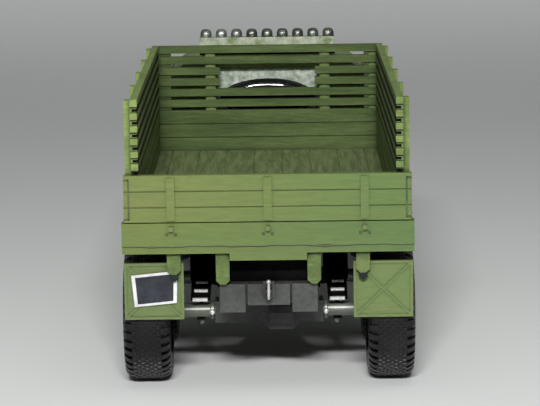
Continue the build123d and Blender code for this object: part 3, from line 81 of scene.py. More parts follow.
def finish(name, dark, base, light, rough=0.6, metal=0.0, scale=60.0, speck=900.0, bump=0.25, coat=0.0, corner_shade=0.0,
           dust=None, stretch=(1.0, 1.0, 1.0), spread=0.12, reach=1.6, shine=0.5, grain=0.75, hue_drift_and_side_shade=None, slat_shade=None):
    """A painted or moulded surface: mottled colour, fine specks, painted shade in the corners and a bumpy skin.

    The corner amount is how dark the painted shade in corners gets within reach millimetres, dust a colour and how much
    of it lies on faces that look up, the side colour what the colour is multiplied by at the right side (a drift of
    hue, and on the racks painted shade on that side), and the slat places where painted shade lies between slats.
    """
    material = bpy.data.materials.new(name)
    material.use_nodes = True
    tree = material.node_tree
    link = tree.links.new
    shader = tree.nodes["Principled BSDF"]
    shader.inputs["Base Color"].default_value = (*base, 1.0)
    shader.inputs["Roughness"].default_value = rough
    shader.inputs["Metallic"].default_value = metal
    shader.inputs["Coat Weight"].default_value = coat
    shader.inputs["Specular IOR Level"].default_value = shine
    place = node_of(tree, "ShaderNodeTexCoord")
    mapping = node_of(tree, "ShaderNodeMapping")
    mapping.inputs["Scale"].default_value = stretch
    link(place.outputs["Object"], mapping.inputs["Vector"])
    mottle = node_of(tree, "ShaderNodeTexNoise", Scale=scale, Detail=6.0, Roughness=0.62)
    fine = node_of(tree, "ShaderNodeTexNoise", Scale=speck, Detail=4.0, Roughness=0.7)
    for texture in (mottle, fine):
        link(mapping.outputs["Vector"], texture.inputs["Vector"])
    ramp = node_of(tree, "ShaderNodeValToRGB")
    ramp.color_ramp.elements[0].position = 0.5 - spread
    ramp.color_ramp.elements[0].color = (*dark, 1.0)
    ramp.color_ramp.elements[1].position = 0.5 + spread
    ramp.color_ramp.elements[1].color = (*light, 1.0)
    middle = ramp.color_ramp.elements.new(0.5)
    middle.color = (*base, 1.0)
    link(mottle.outputs["Fac"], ramp.inputs["Fac"])
    specks = node_of(tree, "ShaderNodeMix", data_type="RGBA", blend_type="SOFT_LIGHT")
    specks.inputs["Factor"].default_value = grain
    link(ramp.outputs["Color"], specks.inputs["A"])
    link(fine.outputs["Fac"], specks.inputs["B"])
    colour = specks.outputs["Result"]
    if hue_drift_and_side_shade:
        # the paint's hue drifts from the left side of the model to the right; on the racks the same multiplier is
        # painted shade, darker on the right side
        sides = node_of(tree, "ShaderNodeSeparateXYZ")
        link(place.outputs["Object"], sides.inputs["Vector"])
        across = node_of(tree, "ShaderNodeMapRange")
        across.inputs["From Min"].default_value = -SIDE_TINT_HALF * MM
        across.inputs["From Max"].default_value = SIDE_TINT_HALF * MM
        link(sides.outputs["X"], across.inputs["Value"])
        tint = node_of(tree, "ShaderNodeMix", data_type="RGBA", blend_type="MULTIPLY")
        link(across.outputs["Result"], tint.inputs["Factor"])
        link(colour, tint.inputs["A"])
        tint.inputs["B"].default_value = (*hue_drift_and_side_shade, 1.0)
        colour = tint.outputs["Result"]
    if slat_shade:
        # painted shade where the slats face each other; the tuple holds the first slat's foot, the pitch, the share of
        # a pitch that stays clean, the top and the half width inside which it applies, all in millimetres
        foot, pitch, clean, top, inside = slat_shade
        spot = node_of(tree, "ShaderNodeSeparateXYZ")
        link(place.outputs["Object"], spot.inputs["Vector"])

        def sum_of(operation, first, second):
            step = node_of(tree, "ShaderNodeMath", operation=operation)
            for socket, value in zip(step.inputs, (first, second)):
                if isinstance(value, float):
                    socket.default_value = value
                else:
                    link(value, socket)
            return step.outputs["Value"]

        phase = sum_of("FRACT", sum_of("DIVIDE", sum_of("SUBTRACT", spot.outputs["Z"], foot * MM), pitch * MM), 0.0)
        low = sum_of("LESS_THAN", phase, GAP_FOOT_SHARE)
        high = sum_of("GREATER_THAN", phase, clean)
        within = sum_of("LESS_THAN", sum_of("ABSOLUTE", spot.outputs["X"], 0.0), inside * MM)
        under = sum_of("LESS_THAN", spot.outputs["Z"], top * MM)
        dark_share = sum_of("MULTIPLY", sum_of("MULTIPLY", sum_of("MAXIMUM", low, high), within), under)
        darken = node_of(tree, "ShaderNodeMix", data_type="RGBA")
        link(dark_share, darken.inputs["Factor"])
        link(colour, darken.inputs["A"])
        darken.inputs["B"].default_value = GAP_SHADE
        colour = darken.outputs["Result"]
    if dust:
        geometry = node_of(tree, "ShaderNodeNewGeometry")
        split = node_of(tree, "ShaderNodeSeparateXYZ")
        link(geometry.outputs["Normal"], split.inputs["Vector"])
        upward = node_of(tree, "ShaderNodeMapRange")
        upward.inputs["From Min"].default_value = 0.4
        upward.inputs["To Max"].default_value = dust[3]
        link(split.outputs["Z"], upward.inputs["Value"])
        patches = node_of(tree, "ShaderNodeMath", operation="MULTIPLY")
        link(upward.outputs["Result"], patches.inputs[0])
        link(mottle.outputs["Fac"], patches.inputs[1])
        settle = node_of(tree, "ShaderNodeMix", data_type="RGBA")
        link(patches.outputs["Value"], settle.inputs["Factor"])
        link(colour, settle.inputs["A"])
        settle.inputs["B"].default_value = (*dust[:3], 1.0)
        colour = settle.outputs["Result"]
    # painted shade: the colour darkens in corners and between parts, as far as ambient occlusion reaches
    if corner_shade:
        corners = node_of(tree, "ShaderNodeAmbientOcclusion", samples=8)
        corners.inputs["Distance"].default_value = reach * MM
        painted_corner_shade = node_of(tree, "ShaderNodeMapRange")
        painted_corner_shade.inputs["From Min"].default_value = CORNER_DARK
        painted_corner_shade.inputs["From Max"].default_value = CORNER_CLEAR
        painted_corner_shade.inputs["To Min"].default_value = 1.0 - corner_shade
        painted_corner_shade.inputs["To Max"].default_value = 1.0
        link(corners.outputs["AO"], painted_corner_shade.inputs["Value"])
        shade = node_of(tree, "ShaderNodeMix", data_type="RGBA", blend_type="MULTIPLY")
        shade.inputs["Factor"].default_value = 1.0
        link(colour, shade.inputs["A"])
        link(painted_corner_shade.outputs["Result"], shade.inputs["B"])
        colour = shade.outputs["Result"]
    link(colour, shader.inputs["Base Color"])
    gloss = node_of(tree, "ShaderNodeMapRange")
    gloss.inputs["To Min"].default_value = max(rough - GLOSS_SWING, 0.02)
    gloss.inputs["To Max"].default_value = min(rough + GLOSS_SWING, 1.0)
    link(fine.outputs["Fac"], gloss.inputs["Value"])
    link(gloss.outputs["Result"], shader.inputs["Roughness"])
    skin = node_of(tree, "ShaderNodeBump")
    skin.inputs["Strength"].default_value = bump
    skin.inputs["Distance"].default_value = SKIN_DEPTH * MM
    link(fine.outputs["Fac"], skin.inputs["Height"])
    link(skin.outputs["Normal"], shader.inputs["Normal"])
    return material


def glass(name, tint, alpha):
    """Clear moulded glazing, slightly streaked."""
    material = bpy.data.materials.new(name)
    material.use_nodes = True
    tree = material.node_tree
    shader = tree.nodes["Principled BSDF"]
    shader.inputs["Base Color"].default_value = (*tint, 1.0)
    shader.inputs["Roughness"].default_value = 0.04
    shader.inputs["Alpha"].default_value = alpha
    shader.inputs["Coat Weight"].default_value = 0.5
    place = node_of(tree, "ShaderNodeTexCoord")
    noise = node_of(tree, "ShaderNodeTexNoise", Scale=300.0, Detail=3.0)
    tree.links.new(place.outputs["Object"], noise.inputs["Vector"])
    smear = node_of(tree, "ShaderNodeMapRange")
    smear.inputs["To Min"].default_value = 0.02
    smear.inputs["To Max"].default_value = 0.12
    tree.links.new(noise.outputs["Fac"], smear.inputs["Value"])
    tree.links.new(smear.outputs["Result"], shader.inputs["Roughness"])
    return material


# each surface: name, then its darkest, middle and lightest colour
TAIL_PAINT = dict(rough=0.62, corner_shade=0.35, bump=0.25, stretch=(0.3, 1.0, 2.4), scale=40.0, grain=0.4)
ACROSS = dict(bump=0.5, stretch=(0.3, 1.0, 3.0), scale=110.0, shine=0.3)
ALONG = dict(bump=0.5, stretch=(1.0, 0.3, 2.6), scale=110.0, shine=0.3)
GREEN = finish("green_paint", (0.100, 0.150, 0.042), (0.132, 0.190, 0.056), (0.162, 0.220, 0.070), rough=0.60,
               corner_shade=0.40, dust=(0.25, 0.30, 0.15, 0.45), bump=0.3)
GATE = finish("green_gate", (0.132, 0.182, 0.042), (0.144, 0.186, 0.045), (0.158, 0.192, 0.048),
              hue_drift_and_side_shade=(0.79, 0.92, 0.97), **TAIL_PAINT)
SILL = finish("green_sill", (0.121, 0.172, 0.038), (0.1325, 0.176, 0.0405), (0.145, 0.181, 0.043),
              hue_drift_and_side_shade=(0.68, 0.88, 1.0), **TAIL_PAINT)
FLAP = finish("green_flaps", (0.1135, 0.173, 0.0533), (0.124, 0.177, 0.057), (0.136, 0.182, 0.061),
              hue_drift_and_side_shade=(1.02, 1.06, 0.97), **TAIL_PAINT)
# the headboard's paint: a darker copy of the green paint, painted shade
SHADED_BOARD = finish("green_boards_painted_shade", (0.054, 0.088, 0.022), (0.074, 0.112, 0.031), (0.094, 0.136, 0.040), rough=0.66,
               corner_shade=0.55, **ACROSS)
# the side boards' and tail brackets' paint: a darker copy of the green paint, painted shade
SHADED_LONG_BOARD = finish("green_long_boards_painted_shade", (0.086, 0.128, 0.034), (0.112, 0.158, 0.046), (0.140, 0.188, 0.060),
                    rough=0.64, corner_shade=1.0, reach=1.5, **ALONG)
# the racks' paint: a lighter copy of the green paint as painted light on faces that lie in shade, multiplied darker
# towards the right side as painted shade, with painted shade between the slats
RACK_LIGHT_AND_SHADE = finish("green_racks_painted_light_and_shade", (0.145, 0.212, 0.054), (0.184, 0.258, 0.070), (0.220, 0.296, 0.085), rough=0.64,
              corner_shade=0.8, reach=1.2, hue_drift_and_side_shade=(0.86, 0.86, 0.88), slat_shade=(48.10, SLAT_PITCH, 0.62, 62.9, 27.98), **ALONG)
FLOOR_GREEN = finish("green_floor", (0.098, 0.136, 0.047), (0.134, 0.182, 0.064), (0.184, 0.232, 0.094), rough=0.85,
                     corner_shade=0.15, dust=(0.20, 0.23, 0.12, 0.30), bump=1.0, stretch=(3.5, 0.3, 1.0), scale=260.0,
                     speck=1100.0, shine=0.3)
# dark green of the bolts and irons; on the irons at the tailgate's ends and on the tube under the sill it is painted
# shade
FITTING_AND_SHADE = finish("dark_green_fittings_and_painted_shade", (0.045, 0.066, 0.022), (0.066, 0.094, 0.032), (0.090, 0.122, 0.044),
                 rough=0.5, corner_shade=0.4)
# near black, darker than black paint: painted shade on the parts under the bed and in the grille
CHASSIS_SHADE_BLACK = finish("dark_chassis_painted_shade", (0.001, 0.001, 0.001), (0.002, 0.002, 0.002), (0.006, 0.006, 0.006), rough=0.88,
                 corner_shade=0.6, shine=0.05)
GREY = finish("grey_underframe", (0.014, 0.015, 0.014), (0.030, 0.032, 0.030), (0.056, 0.059, 0.053), rough=0.4,
              corner_shade=0.6, shine=0.35)
PAD = finish("grey_crossmember", (0.030, 0.032, 0.029), (0.054, 0.057, 0.052), (0.084, 0.088, 0.078), rough=0.5,
             corner_shade=0.6, spread=0.16)
STEEL = finish("axle_steel", (0.13, 0.14, 0.12), (0.18, 0.19, 0.165), (0.25, 0.265, 0.235), rough=0.40, metal=0.5,
               bump=0.1, stretch=(0.2, 3.0, 3.0))
# near-white steel: painted glints on the grub screws, leaf ends and hook latch
GLINT_STEEL = finish("steel_painted_glint", (0.66, 0.67, 0.64), (0.80, 0.81, 0.78), (0.90, 0.91, 0.88), rough=0.28, metal=0.5,
                bump=0.15)
IRON = finish("hook_iron", (0.05, 0.05, 0.048), (0.10, 0.10, 0.095), (0.20, 0.20, 0.19), rough=0.4, metal=0.7,
              bump=0.3)
RUBBER = finish("tyre_rubber", (0.002, 0.002, 0.0025), (0.0045, 0.0045, 0.005), (0.012, 0.012, 0.013), rough=0.34,
                bump=1.0, corner_shade=0.5, speck=1300.0, shine=0.36)
BLACK = finish("black_rubber", (0.003, 0.005, 0.004), (0.005, 0.008, 0.006), (0.010, 0.014, 0.010), rough=0.45,
               bump=0.15, shine=0.3)
BARE = finish("bare_metal", (0.20, 0.26, 0.12), (0.385, 0.435, 0.31), (0.52, 0.55, 0.43), rough=0.42, metal=0.1,
              bump=0.5, corner_shade=0.4, spread=0.14, speck=1500.0, scale=420.0)
# a lighter copy of the bare metal: painted light on the rear window's panel, which lies in the headboard's shade
LIT_PANEL = finish("panel_metal_painted_light", (0.20, 0.25, 0.20), (0.38, 0.44, 0.36), (0.60, 0.66, 0.57), rough=0.42, metal=0.1,
               bump=0.6, corner_shade=0.2, spread=0.16, speck=1800.0, scale=700.0)
RIB_METAL = finish("rib_metal", (0.050, 0.058, 0.048), (0.105, 0.116, 0.096), (0.26, 0.28, 0.24), rough=0.26,
                   metal=0.7, bump=0.5, corner_shade=0.3, speck=1500.0)
VINYL = finish("seat_vinyl", (0.018, 0.014, 0.010), (0.034, 0.027, 0.020), (0.05, 0.04, 0.03), rough=0.55)
LENS = finish("lamp_lens", (0.55, 0.55, 0.52), (0.70, 0.70, 0.66), (0.82, 0.82, 0.78), rough=0.12, coat=0.6, bump=0.5)
WHITE = finish("plate_white", (0.50, 0.51, 0.50), (0.66, 0.67, 0.66), (0.78, 0.78, 0.77), rough=0.45, bump=0.2)
NAVY = finish("plate_black", (0.004, 0.005, 0.009), (0.010, 0.012, 0.020), (0.03, 0.035, 0.05), rough=0.3, bump=0.15)
GLASS = glass("glazing", (0.80, 0.86, 0.84), 0.22)
DARK_GLASS = glass("rear_glazing", (0.012, 0.014, 0.013), 0.93)

finishes = {
    "green_paint": GREEN,
    "grey_underframe": GREY,
    "axle_steel": STEEL,
    "tyre_rubber": RUBBER,
    "black_rubber": BLACK,
    "glazing": GLASS,
    "bare_metal": BARE,
    "seat_vinyl": VINYL,
    "lamp_lens": LENS,
}
special = {
    "tailgate": GATE,
    "tailgate_hinges": GATE,
    "rear_sill": SILL,
    "mudflaps": FLAP,
    "tail_brackets": SHADED_LONG_BOARD,
    "headboard": SHADED_BOARD,
    "side_boards": SHADED_LONG_BOARD,
    "side_racks": RACK_LIGHT_AND_SHADE,
    "bed_floor": FLOOR_GREEN,
    "chassis_frame": CHASSIS_SHADE_BLACK,
    "bed_bearers": CHASSIS_SHADE_BLACK,
    "rear_springs": CHASSIS_SHADE_BLACK,
    "bogie_pivot": CHASSIS_SHADE_BLACK,
    "transfer_case": CHASSIS_SHADE_BLACK,
    "propeller_shafts": CHASSIS_SHADE_BLACK,
    "middle_axle_casing": CHASSIS_SHADE_BLACK,
    "rear_crossmember": PAD,
    "tow_hook": IRON,
    "rear_window_panel": LIT_PANEL,
}
slot_of = {row["node"]: row["material_slot"] for row in frame["record"]["subparts"]}
for node_name, node in frame["nodes"].items():
    node.data.materials.clear()
    node.data.materials.append(special.get(node_name, finishes[slot_of[node_name]]))


# ---------------------------------------------------------------- mesh building
def prism_faces(count):
    """Faces of a prism whose two ends have count points each, one end after the other."""
    ends = [tuple(range(count)), tuple(range(2 * count - 1, count - 1, -1))]
    return ends + [(i, count + i, count + (i + 1) % count, (i + 1) % count) for i in range(count)]


def stack_faces(rows, count):
    """Faces between rows of count points that lie on each other, closed at both ends."""
    faces = []
    for row in range(rows - 1):
        for k in range(count):
            n = (k + 1) % count
            faces.append((row * count + k, row * count + n, (row + 1) * count + n, (row + 1) * count + k))
    return faces + [tuple(reversed(range(count))), tuple((rows - 1) * count + k for k in range(count))]


SHARP = 0.6  # radians


class Form:
    """Points and faces gathered in millimetres, made into one piece at the end."""

    def __init__(self):
        self.points = []
        self.faces = []

    def add(self, points, faces):
        """Points, and faces numbered from the first of them."""
        base = len(self.points)
        self.points += [tuple(p) for p in points]
        self.faces += [tuple(base + i for i in face) for face in faces]

    def box(self, x, y, z):
        """A box between two places on each axis."""
        points = [(a, b, c) for a in sorted(x) for b in sorted(y) for c in sorted(z)]
        faces = [(0, 1, 3, 2), (4, 6, 7, 5), (0, 4, 5, 1), (2, 3, 7, 6), (0, 2, 6, 4), (1, 5, 7, 3)]
        self.add(points, faces)

    def lathe(self, profile, centre, axis, turns=32):
        """A turned solid; rows are (along the axis, radius)."""
        axis = Vector(axis).normalized()
        side = axis.orthogonal().normalized()
        up = axis.cross(side)
        centre = Vector(centre)
        points = []
        for along, radius in profile:
            for k in range(turns):
                angle = 2 * pi * k / turns
                points.append(centre + axis * along + (side * cos(angle) + up * sin(angle)) * radius)
        self.add(points, stack_faces(len(profile), turns))

    def ring(self, profile, centre, axis, turns=48):
        """A closed section swept round the axis; rows are (along the axis, radius)."""
        axis = Vector(axis).normalized()
        side = axis.orthogonal().normalized()
        up = axis.cross(side)
        centre = Vector(centre)
        rows = len(profile)
        points = []
        for k in range(turns):
            angle = 2 * pi * k / turns
            out = side * cos(angle) + up * sin(angle)
            points += [centre + axis * along + out * radius for along, radius in profile]
        faces = []
        for k in range(turns):
            n = (k + 1) % turns
            for row in range(rows):
                nxt = (row + 1) % rows
                faces.append((k * rows + row, n * rows + row, n * rows + nxt, k * rows + nxt))
        self.add(points, faces)

    def tube(self, path, radius, turns=10):
        """A round bar along a short path of points."""
        path = [Vector(p) for p in path]
        points = []
        for i, p in enumerate(path):
            before = path[max(i - 1, 0)]
            after = path[min(i + 1, len(path) - 1)]
            way = (after - before).normalized()
            side = way.orthogonal().normalized() if i == 0 else (side - way * side.dot(way)).normalized()
            up = way.cross(side)
            for k in range(turns):
                angle = 2 * pi * k / turns
                points.append(p + (side * cos(angle) + up * sin(angle)) * radius)
        self.add(points, stack_faces(len(path), turns))

    def bolt(self, place, axis, radius=0.45, height=0.32, turns=12):
        """A domed bolt or rivet head standing on a face."""
        rows = [(0.0, radius), (height * 0.45, radius * 0.96), (height * 0.8, radius * 0.7), (height, radius * 0.25)]
        self.lathe(rows, place, axis, turns)

    def nut(self, place, axis, radius=0.5, height=0.45):
        """A hexagon nut with its stud."""
        self.lathe([(0.0, radius), (height * 0.8, radius), (height, radius * 0.85)], place, axis, 6)
        self.lathe([(0.0, radius * 0.5), (height * 1.5, radius * 0.5), (height * 1.7, radius * 0.35)], place, axis, 8)

    def piece(self, name, material, slot, body="truck", smooth=False):
        """The mesh object of all that was gathered, on its body; the slot argument is not used."""
        mesh = bpy.data.meshes.new(name)
        mesh.from_pydata([(x * MM, y * MM, z * MM) for x, y, z in self.points], [], self.faces)
        mesh.update()
        obj = bpy.data.objects.new(name, mesh)
        bpy.context.scene.collection.objects.link(obj)
        mesh.materials.append(material)
        bpy.context.view_layer.objects.active = obj
        obj.select_set(True)
        bpy.ops.object.mode_set(mode="EDIT")
        bpy.ops.mesh.select_all(action="SELECT")
        bpy.ops.mesh.normals_make_consistent(inside=False)
        bpy.ops.object.mode_set(mode="OBJECT")
        obj.select_set(False)
        if smooth:
            for polygon in mesh.polygons:
                polygon.use_smooth = True
            mesh.set_sharp_from_angle(angle=SHARP)
        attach(obj, body)
        return obj


# ---------------------------------------------------------------- tyres
LUGS = 42
LEAN = 0.10
SHOULDER_EDGE = 4.9
# outline of a shoulder lug: place across the tyre, radius, half the lug's thickness round the tyre
SHOULDER = ((3.0, 13.6, 0.66), (3.0, 14.44, 0.62), (3.6, 14.36, 0.60), (4.35, 13.9, 0.56), (4.82, 13.2, 0.52),
            (4.88, 12.3, 0.42), (4.3, 12.3, 0.52), (3.4, 13.2, 0.64))
# sections swept round the tyre, as (across, radius)
BAND = ((-3.05, 13.7), (-3.05, 14.40), (-1.6, 14.50), (0.0, 14.53), (1.6, 14.50), (3.05, 14.40), (3.05, 13.7))
HALF_CARCASS = ((3.5, 7.75), (4.3, 8.6), (4.75, 9.9), (4.85, 11.3), (4.72, 12.6), (4.3, 13.4), (2.5, 13.85),
                (0.0, 13.95))
SIDE_RIBS = (((4.55, 9.15), (4.83, 9.3), (4.83, 9.6), (4.6, 9.75)),
             ((4.7, 11.5), (4.9, 11.6), (4.9, 11.8), (4.6, 11.95)))
CARCASS_TURNS = 72
BAND_TURNS = 120
KNOBS = 66
KNOB_COLUMNS = (-2.55, -1.70, -0.85, 0.0, 0.85, 1.70, 2.55)
# a knob as (radius, half its size across, half its size round the tyre), foot and top
KNOB = ((14.36, 0.36, 0.50), (14.63, 0.27, 0.38))


def add_tyre(form, centre, outward):
    """One tyre: carcass, shoulder lugs, a crown band with low knobs, and side ribs."""
    axis = (outward, 0, 0)
    carcass = [(-across, radius) for across, radius in HALF_CARCASS] + list(HALF_CARCASS[-2::-1])
    form.ring(carcass, centre, axis, turns=CARCASS_TURNS)
    for edge in (-1, 1):
        for rib in SIDE_RIBS:
            form.ring([(edge * across, radius) for across, radius in rib], centre, axis, turns=CARCASS_TURNS)
    form.ring(BAND, centre, axis, turns=BAND_TURNS)
    for row, edge in enumerate((-1, 1)):
        for index in range(LUGS):
            angle = 2 * pi * (index + 0.5 * row) / LUGS - pi / 2
            points = []
            for hand in (-1, 1):
                for across, radius, thick in SHOULDER:
                    turn = angle + (hand * thick + LEAN * (SHOULDER_EDGE - across)) / radius
                    points.append((centre[0] + outward * edge * across, centre[1] + radius * cos(turn),
                                   centre[2] + radius * sin(turn)))
            form.add(points, prism_faces(len(SHOULDER)))
    for column, across in enumerate(KNOB_COLUMNS):
        for index in range(KNOBS):
            angle = 2 * pi * (index + 0.5 * (column % 2)) / KNOBS
            points = []
            for radius, half_across, half_round in KNOB:
                for x, hand in ((-1, -1), (1, -1), (1, 1), (-1, 1)):
                    turn = angle + hand * half_round / radius
                    points.append((centre[0] + across + x * half_across, centre[1] + radius * cos(turn),
                                   centre[2] + radius * sin(turn)))
            form.add(points, prism_faces(4))


STEPS = 96
HANDS = 6  # hand holes
# rows of a wheel's disc: radius, place along the axle of the outer face, half a hand hole's width in steps
DISC = ((3.4, 1.9, 0), (4.0, 1.45, 0), (5.0, 1.30, 0), (5.15, 1.32, 2), (5.35, 1.4, 3), (5.95, 1.9, 3), (6.15, 2.15, 2),
        (6.3, 2.35, 0), (6.75, 2.7, 0), (6.95, 3.0, 0))
DISC_THICK = 0.55
# sections swept round the axle, as (along the axle, radius)
RIM = ((-3.7, 7.6), (-3.7, 7.1), (-3.3, 6.9), (-1.0, 6.75), (2.4, 6.7), (3.3, 6.9), (3.7, 7.1), (3.7, 7.6))
BEAD = ((3.3, 6.85), (3.72, 7.05), (3.72, 7.45), (3.3, 7.5))
DRUM = ((-3.5, 1.62), (-3.5, 2.8), (-3.2, 4.6), (0.6, 5.0), (0.8, 4.2), (0.8, 1.62))
HUB = ((0.7, 1.62), (0.7, 3.5), (1.95, 3.5), (2.15, 3.3), (2.2, 2.2), (2.2, 1.62))
WHEEL_NUTS = 8
NUT_CIRCLE, NUT_FACE_X = 4.45, 1.25
HUB_BOLTS = 6
BOLT_CIRCLE, BOLT_FACE_X = 2.75, 2.2


def add_disc(form, centre, outward):
    """The pressed disc of a wheel with its hand holes cut through."""
    rows = len(DISC)
    points = []
    for face in (0.0, -DISC_THICK):
        for radius, x, _ in DISC:
            for k in range(STEPS):
                angle = 2 * pi * k / STEPS
                points.append((centre[0] + outward * (x + face), centre[1] + radius * cos(angle),
                               centre[2] + radius * sin(angle)))
    every = STEPS // HANDS

    def kept(row, k):
        if row < 0 or row >= rows - 1:
            return False
        half = min(DISC[row][2], DISC[row + 1][2])
        place = (k % STEPS) % every
        return not (half and every // 2 - half <= place < every // 2 + half)

    back = rows * STEPS
    faces = []
    for row in range(rows - 1):
        for k in range(STEPS):
            if not kept(row, k):
                continue
            n = (k + 1) % STEPS
            a, b, c, d = row * STEPS + k, row * STEPS + n, (row + 1) * STEPS + n, (row + 1) * STEPS + k
            faces.append((a, b, c, d))
            faces.append((back + d, back + c, back + b, back + a))
            around = (((row - 1, k), (b, a)), ((row + 1, k), (d, c)), ((row, k - 1), (a, d)), ((row, k + 1), (c, b)))
            for beside, edge in around:
                if not kept(*beside):
                    faces.append((edge[0], edge[1], back + edge[1], back + edge[0]))
    form.add(points, faces)


def add_wheel(form, centre, outward):
    """One wheel: rim with its beads, pressed disc, drum and hub."""
    axis = (outward, 0, 0)
    for section in (RIM, BEAD, DRUM):
        form.ring(section, centre, axis, turns=STEPS)
    form.ring(HUB, centre, axis, turns=STEPS // 2)
    add_disc(form, centre, outward)


def add_wheel_trim(form, centre, outward):
    """Wheel nuts and hub bolts on one wheel's outer side."""
    axis = (outward, 0, 0)

    def on_circle(count, circle, face_x):
        for index in range(count):
            angle = 2 * pi * (index + 0.5) / count
            yield centre[0] + outward * face_x, centre[1] + circle * cos(angle), centre[2] + circle * sin(angle)

    for place in on_circle(WHEEL_NUTS, NUT_CIRCLE, NUT_FACE_X):
        form.nut(place, axis, radius=0.42, height=0.5)
    for place in on_circle(HUB_BOLTS, BOLT_CIRCLE, BOLT_FACE_X):
        form.bolt(place, axis, radius=0.28, height=0.2, turns=8)


for axle, axle_y in (("front", FRONT_Y), ("middle", MIDDLE_Y), ("rear", REAR_Y)):
    treads = Form()
    trim = Form()
    wheels = Form()
    for outward in (-1, 1):
        hub = (outward * TYRE_X, axle_y, TYRE_R)
        add_tyre(treads, hub, outward)
        add_wheel(wheels, hub, outward)
        add_wheel_trim(trim, hub, outward)
    tyre = treads.piece(f"treaded_tyres_{axle}", RUBBER, "tyre_rubber", f"{axle}_wheelset", smooth=True)
    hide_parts(f"tyres_{axle}")
    cast = wheels.piece(f"pressed_wheels_{axle}", GREEN, "green_paint", f"{axle}_wheelset", smooth=True)
    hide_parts(f"wheels_{axle}")
    trim.piece(f"wheel_nuts_{axle}", GREEN, "green_paint", f"{axle}_wheelset", smooth=True)

# ---------------------------------------------------------------- tail: bolts, irons, painted shadow under the sill, and plate
STRAPS = (-20.0, 0.0, 20.0)
BOLT_APART, BOLT_Z = 0.9, 34.9
bolts = Form()
for strap_x in STRAPS:
    for side in (-1, 1):
        bolts.bolt((strap_x + side * BOLT_APART, TAIL_Y, BOLT_Z), (0, -1, 0), radius=0.33, height=0.25)
bolts.piece("tail_bolts", FITTING_AND_SHADE, "green_paint", smooth=True)

IRON_X, IRON_END_X = 28.65, 29.65
IRON_LOW_Z, IRON_HIGH_Z = 38.15, 46.35
IRON_Y = (TAIL_Y - 0.03, TAIL_Y + 0.2)
irons = Form()
for side in (-1, 1):
    irons.box((side * IRON_X - 0.2, side * IRON_X + 0.2), IRON_Y, (IRON_LOW_Z - 0.15, IRON_HIGH_Z + 0.15))
    for z in (IRON_LOW_Z, IRON_HIGH_Z):
        irons.box((side * IRON_X, side * IRON_END_X), IRON_Y, (z - 0.15, z + 0.15))
# the end irons in the dark fitting paint: painted shade along the tailgate's two end lines
irons.piece("tailgate_end_irons", FITTING_AND_SHADE, "green_paint")

EDGE_SHADOW_HALF = 30.0
EDGE_SHADOW_STEPS = 120
EDGE_SHADOW_Z = 32.42
EDGE_SHADOW_DENT_X, EDGE_SHADOW_DENT, EDGE_SHADOW_DENT_HALF = 11.9, 0.3, 0.8


def edge_shadow_z(x):
    """Height of the painted shadow line under the hand-cut lower edge of the sill: two slow waves and one dent."""
    wave = 0.10 * sin(0.35 * x) + 0.06 * sin(1.1 * x)
    return EDGE_SHADOW_Z + wave - EDGE_SHADOW_DENT / (1.0 + ((x - EDGE_SHADOW_DENT_X) / EDGE_SHADOW_DENT_HALF) ** 2)


edge_shadow_places = [-EDGE_SHADOW_HALF + 2 * EDGE_SHADOW_HALF * step / EDGE_SHADOW_STEPS for step in range(EDGE_SHADOW_STEPS + 1)]
# a dark tube along the sill's lower edge: painted shadow under that edge
edge_shadow = Form()
edge_shadow.tube([(x, TAIL_Y + 0.12, edge_shadow_z(x)) for x in edge_shadow_places], 0.15, turns=8)
edge_shadow.piece("sill_edge_painted_shadow", FITTING_AND_SHADE, "green_paint", smooth=True)

FLAP_FACE_Y = -82.25
PLATE_FACE_Y = FLAP_FACE_Y - 0.3
PLATE_CORNERS = ((-28.6, 25.8), (-19.0, 26.7), (-19.2, 19.9), (-28.0, 19.1))
PLATE_X = sum(x for x, z in PLATE_CORNERS) / 4
PLATE_Z = sum(z for x, z in PLATE_CORNERS) / 4
FIELD_SHARE = 0.84
SHEET_FACES = [(0, 1, 2, 3), (7, 6, 5, 4), (0, 4, 5, 1), (1, 5, 6, 2), (2, 6, 7, 3), (3, 7, 4, 0)]


def sheet(share, y, front_y):
    """A bent-cornered sheet, as a share of the plate's size, between two places along the truck."""
    form = Form()
    form.add([(PLATE_X + (x - PLATE_X) * share, place, PLATE_Z + (z - PLATE_Z) * share)
              for place in (y, front_y) for x, z in PLATE_CORNERS], SHEET_FACES)
    return form


sheet(1.0, FLAP_FACE_Y, PLATE_FACE_Y).piece("blank_plate", WHITE, "lamp_lens")
sheet(FIELD_SHARE, PLATE_FACE_Y, FLAP_FACE_Y - 0.36).piece("blank_plate_field", NAVY, "black_rubber")

# ---------------------------------------------------------------- ribbed roof rail
RAIL_HALF = 16.6  # across; the places that follow are along the truck and up
RAIL_Y = (16.2, 18.8)
RAIL_Z = 60.0
RIB_Z = 63.6
RAIL_TOP_Z = 64.3
SHADE_STRIP_TOP_Z = 61.2
RIB_HALF = 1.35
RIB_DEPTH = 0.55
RIB_ARC = 12
RIBS = 9
RIB_PITCH = 3.76
# a rib's levels from foot to dome: height, share of its full width, how far it lies back
RIB_LEVELS = ((RIB_Z, 1.0, 0.0), (65.2, 1.0, 0.0), (65.75, 0.9, 0.12), (66.08, 0.7, 0.35), (66.25, 0.42, 0.6),
              (66.29, 0.2, 0.8))
# its rounded rear, as (out from its middle, how far it stands out)
RIB_SECTION = [(RIB_HALF * cos(pi * k / RIB_ARC), RIB_DEPTH * sin(pi * k / RIB_ARC)) for k in range(RIB_ARC + 1)]
rail = Form()
rail.box((-RAIL_HALF, RAIL_HALF), RAIL_Y, (SHADE_STRIP_TOP_Z, RAIL_TOP_Z))
